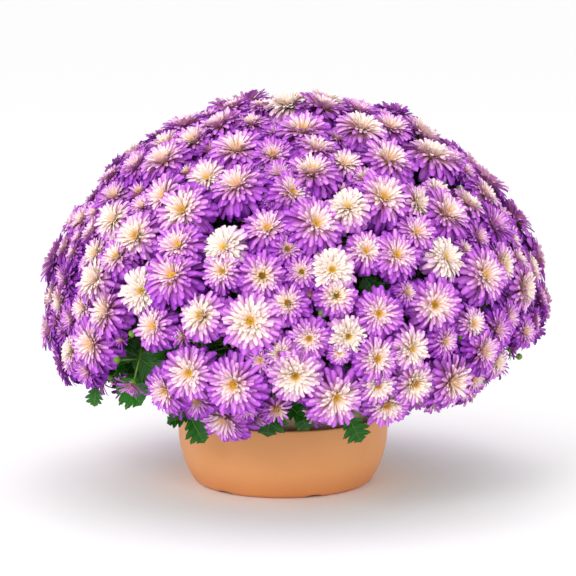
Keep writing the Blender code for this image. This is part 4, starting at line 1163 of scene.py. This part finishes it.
rng = np.random.default_rng(shoots["seed"])
viewBase, viewHeading, viewUp, viewLength, viewWidth, viewLight, viewStem, viewRoot = viewLeaves()
layerBase, layerHeading, layerUp, layerLength, layerStem = layerLeaves(rng)
for k in range(placing["sprays"]):
    start, curve, end = shootPath(k)
    path = np.concatenate([[start], cubic(*curve, shoots["points"]), [end]])
    thickness = np.append(np.full(len(path) - 1, shoots["radius"]), 0.85 * shoots["radius"])
    parts = [tubes(path[None], thickness, shoots["sides"], [[shoots["light"], 0, 0.5]])]
    found = solidLeaves(k, start, curve, end)
    if found:
        root, heading, up, length, droop = (np.array(x) for x in zip(*found))
        light = rng.uniform(0.3, 0.9, len(found))
        width, fold = leaves["widthShare"] * length, np.full(len(found), 0.25)
        parts.append(leafSheets(root, heading, up, length, width, droop, fold, light, leaves["fine"], rng))
    mine = np.flatnonzero(layerStem == k)
    base, heading, up, length = layerBase[mine], layerHeading[mine], layerUp[mine], layerLength[mine]
    light = rng.uniform(0.0, 0.75, len(mine))
    width = leaves["widthShare"] * length * rng.uniform(0.9, 1.15, len(mine))
    droop = rng.uniform(0.1, 0.45, len(mine))
    fold = rng.uniform(0.05, 0.35, len(mine))
    parts.append(leafSheets(base, heading, up, length, width, droop, fold, light, leaves["plain"], rng))
    onStem = blend(sprayBase[k], sprayTop[k], rng.uniform(0.0, 0.45, len(mine))[:, None])
    span = np.linalg.norm(base - onStem, axis=1, keepdims=True)
    paths = cubic(base, base - heading * 0.3 * span, onStem + middleNormal[k] * 0.15 * span, onStem, 5)
    parts.append(tubes(paths, 0.0008, 4, np.stack([np.full(len(mine), 0.4), light, light], -1)))
    mine = np.flatnonzero(viewStem == k)
    if len(mine):
        base, heading, up, length = viewBase[mine], viewHeading[mine], viewUp[mine], viewLength[mine]
        width, light = viewWidth[mine], viewLight[mine]
        droop, fold = np.full(len(mine), 0.22), np.full(len(mine), 0.28)
        parts.append(leafSheets(base, heading, up, length, width, droop, fold, light, leaves["fine"], rng))
        foot, root = base + heading * 0.001, viewRoot[mine]
        gap = np.linalg.norm(foot - root, axis=1, keepdims=True)
        paths = cubic(foot, foot - heading * 0.35 * gap, blend(root, foot, 0.3) + [0, 0, 0.01], root, 8)
        parts.append(tubes(paths, 0.0011, 5, np.stack([np.full(len(mine), 0.8), light, light], -1)))
    makePiece(f"leafyShoot{k + 1:02d}", parts, [stemMaterial, leafMaterial], [f"shoot_{k + 1:02d}"])
print("shoots made, triangles so far:", counts["triangles"])


bowl = {
    "height": 0.071, "rim": 0.106, "foot": 0.088, "roundness": 2.9, "wall": 0.003, "floor": 0.0045,
    "sides": 192, "notches": 6, "notchHalf": 0.009, "notchHigh": 0.0029, "notchIn": 0.075,
    "firstNotch": math.radians(-70),
}


def bowlRadius(height):
    # r = rim - (rim - foot) (1 - z / height)^roundness
    return bowl["rim"] - (bowl["rim"] - bowl["foot"]) * (1 - height / bowl["height"]) ** bowl["roundness"]


def makeBowl():
    # the profile turned round Z; under each notch the foot is lifted to the arch
    # z = high sqrt(1 - (s / half)^2)
    inner = np.array([0.0085, 0.014, 0.022, 0.032, 0.044, 0.056, 0.066])
    outer = np.array([0.066, 0.056, 0.044, 0.034, 0.025, 0.018, 0.012, 0.0075, 0.0045, 0.0022])
    lip = bowl["wall"] / 2
    bend = np.linspace(0, math.pi, 9)
    lipArc = [(bowl["rim"] - lip - lip * math.cos(a), bowl["height"] - lip + lip * math.sin(a)) for a in bend]
    foot = bowl["foot"] - 0.003
    notchIn, floor = bowl["notchIn"], bowl["floor"]
    profile = [(0, floor), (0.04, floor), (bowlRadius(0.0085) - bowl["wall"] - 0.004, floor)]
    profile += [(bowlRadius(h) - bowl["wall"], h) for h in inner]
    profile += lipArc
    profile += [(bowlRadius(h), h) for h in outer]
    profile += [(foot + 0.0009, 0.0004), (foot, 0.0), (notchIn + 0.0002, 0.0), (notchIn, 0.0)]
    profile += [(0.04, 0.0), (0, 0.0)]
    part = lathe(profile, bowl["sides"], [[0, 0, 0]])
    points = part["points"]
    radius = np.hypot(points[:, 0], points[:, 1])
    turn = np.arctan2(points[:, 1], points[:, 0]) - bowl["firstNotch"]
    pitch = math.tau / bowl["notches"]
    aside = radius * np.sin(turn - np.round(turn / pitch) * pitch)
    arch = bowl["notchHigh"] * np.sqrt(np.clip(1 - (aside / bowl["notchHalf"]) ** 2, 0, 1))
    inNotch = (radius > notchIn + 0.0001) & (points[:, 2] < arch)
    points[:, 2] = np.where(inNotch, arch, points[:, 2])
    makePiece("bowlShell", [part], [bowlFinish()], ["bowl"])


growPot = {
    "top": 0.085, "rim": 0.0965, "base": 0.078, "wall": 0.0016, "lipWidth": 0.0022, "lipHeight": 0.006,
    "round": 0.0006, "sides": 128,
}


def growPotRadius(height):
    # straight from the base's radius at the bottom to the rim's, less the lip, at the top
    bottom = bowl["floor"] + placing["fit"]
    share = (height - bottom) / (growPot["top"] - bottom)
    return growPot["base"] + share * (growPot["rim"] - growPot["lipWidth"] - growPot["base"])


def makeGrowPot():
    # a tapered cup whose lip turns out; the profile runs from the floor up inside and down outside
    base = bowl["floor"] + placing["fit"]
    floor = base + growPot["wall"]
    top, wall, rim, edge = growPot["top"], growPot["wall"], growPot["rim"], growPot["round"]
    lipFoot = top - growPot["lipHeight"]
    profile = [(0, floor)] + [(growPotRadius(h) - wall, h) for h in np.linspace(floor, top - 0.0008, 6)]
    profile += [(growPotRadius(top) - wall + edge, top), (rim - edge, top), (rim, top - edge)]
    profile += [(rim, lipFoot + 0.0005), (rim - 0.0005, lipFoot), (growPotRadius(lipFoot), lipFoot)]
    profile += [(growPotRadius(h), h) for h in np.linspace(lipFoot - 0.002, base + 0.001, 5)]
    profile += [(growPot["base"] - 0.001, base), (0, base)]
    part = lathe(profile, growPot["sides"], [[0, 0, 0]])
    makePiece("growPotShell", [part], [growPotFinish()], ["grow_pot"])


mixShape = {"edge": 0.076, "middle": 0.081, "rings": 26, "sides": 96, "crumbs": 0.0011, "seed": 3}


def makeMix():
    # the top is a shallow dome with random crumbs, z = edge + (middle - edge)(1 - (r / R)^2) + noise
    rng = np.random.default_rng(mixShape["seed"])
    floor = bowl["floor"] + 2 * placing["fit"] + growPot["wall"]
    edge = growPotRadius(mixShape["edge"]) - growPot["wall"] - 0.0006
    r = np.linspace(0, edge, mixShape["rings"])
    z = mixShape["edge"] + (mixShape["middle"] - mixShape["edge"]) * (1 - (r / edge) ** 2) - 0.0012
    low = growPotRadius(floor) - growPot["wall"] - 0.0008
    profile = list(zip(r, z)) + [(edge, mixShape["edge"] - 0.004), (low, floor), (0, floor)]
    part = lathe(profile, mixShape["sides"], [[0, 0, 0]])
    points = part["points"]
    top = (points[:, 2] > mixShape["edge"] - 0.003) & (np.hypot(points[:, 0], points[:, 1]) < edge - 0.001)
    points[:, 2] += top * rng.uniform(-1, 1, len(points)) * mixShape["crumbs"]
    makePiece("mixCrumbs", [part], [mixFinish()], ["potting_mix"])


makeBowl()
makeGrowPot()
makeMix()
print("bowl, grow pot and mix made, triangles so far:", counts["triangles"])


studio = {
    "floor": 0.98, "floorHalf": 60.0, "world": 1.0, "aim": (0.005, 0.0, 0.1945), "lens": 150.0,
    "lights": [  # name, place, what it looks at, size, power
        ("keyLight", (-1.0, -2.1, 1.5), (0, 0, 0.2), 1.1, 24.0),
        ("fillLight", (1.9, -1.4, 1.0), (0, 0, 0.2), 1.4, 5.0),
        ("topLight", (0.1, 0.5, 2.2), (0, 0, 0.3), 1.2, 4.0),
    ],
}


def makeFloor():
    # one large pale square at z = 0
    mesh = bpy.data.meshes.new("floor")
    size = studio["floorHalf"]
    corners = [(-size, -size, 0), (size, -size, 0), (size, size, 0), (-size, size, 0)]
    mesh.from_pydata(corners, [], [(0, 1, 2, 3)])
    finish = bpy.data.materials.new("paleFloor")
    finish.use_nodes = True
    shader = finish.node_tree.nodes["Principled BSDF"]
    shader.inputs["Base Color"].default_value = (studio["floor"], studio["floor"], studio["floor"], 1)
    shader.inputs["Roughness"].default_value = 0.9
    mesh.materials.append(finish)
    floor = bpy.data.objects.new("floor", mesh)
    bpy.context.scene.collection.objects.link(floor)


def areaLight(name, place, target, size, power):
    # a round light at this place, turned to shine at the target
    light = bpy.data.lights.new(name, "AREA")
    light.shape = "DISK"
    light.size = size
    light.energy = power
    made = bpy.data.objects.new(name, light)
    made.location = place
    direction = np.array(target) - np.array(place)
    tilt = math.acos(-direction[2] / np.linalg.norm(direction))
    made.rotation_euler = (tilt, 0, math.atan2(direction[1], direction[0]) - math.pi / 2)
    bpy.context.scene.collection.objects.link(made)


def makeStudio():
    # an evenly bright room, three lights, and a camera that looks down at the plant a little
    world = bpy.data.worlds.new("paleRoom")
    world.use_nodes = True
    tree = world.node_tree
    background = tree.nodes["Background"]
    background.inputs["Strength"].default_value = studio["world"]
    background.inputs["Color"].default_value = (1, 1, 1, 1)
    bpy.context.scene.world = world
    for light in studio["lights"]:
        areaLight(*light)
    camera = bpy.data.cameras.new("camera")
    camera.lens = studio["lens"]
    made = bpy.data.objects.new("camera", camera)
    aim, angle, far = studio["aim"], view["elevation"], view["distance"]
    made.location = (aim[0], aim[1] - far * math.cos(angle), aim[2] + far * math.sin(angle))
    made.rotation_euler = (math.pi / 2 - angle, 0, 0)
    bpy.context.scene.collection.objects.link(made)
    bpy.context.scene.camera = made
    bpy.context.scene.view_settings.view_transform = "Standard"


makeFloor()
makeStudio()
print("studio made, triangles in all:", counts["triangles"])
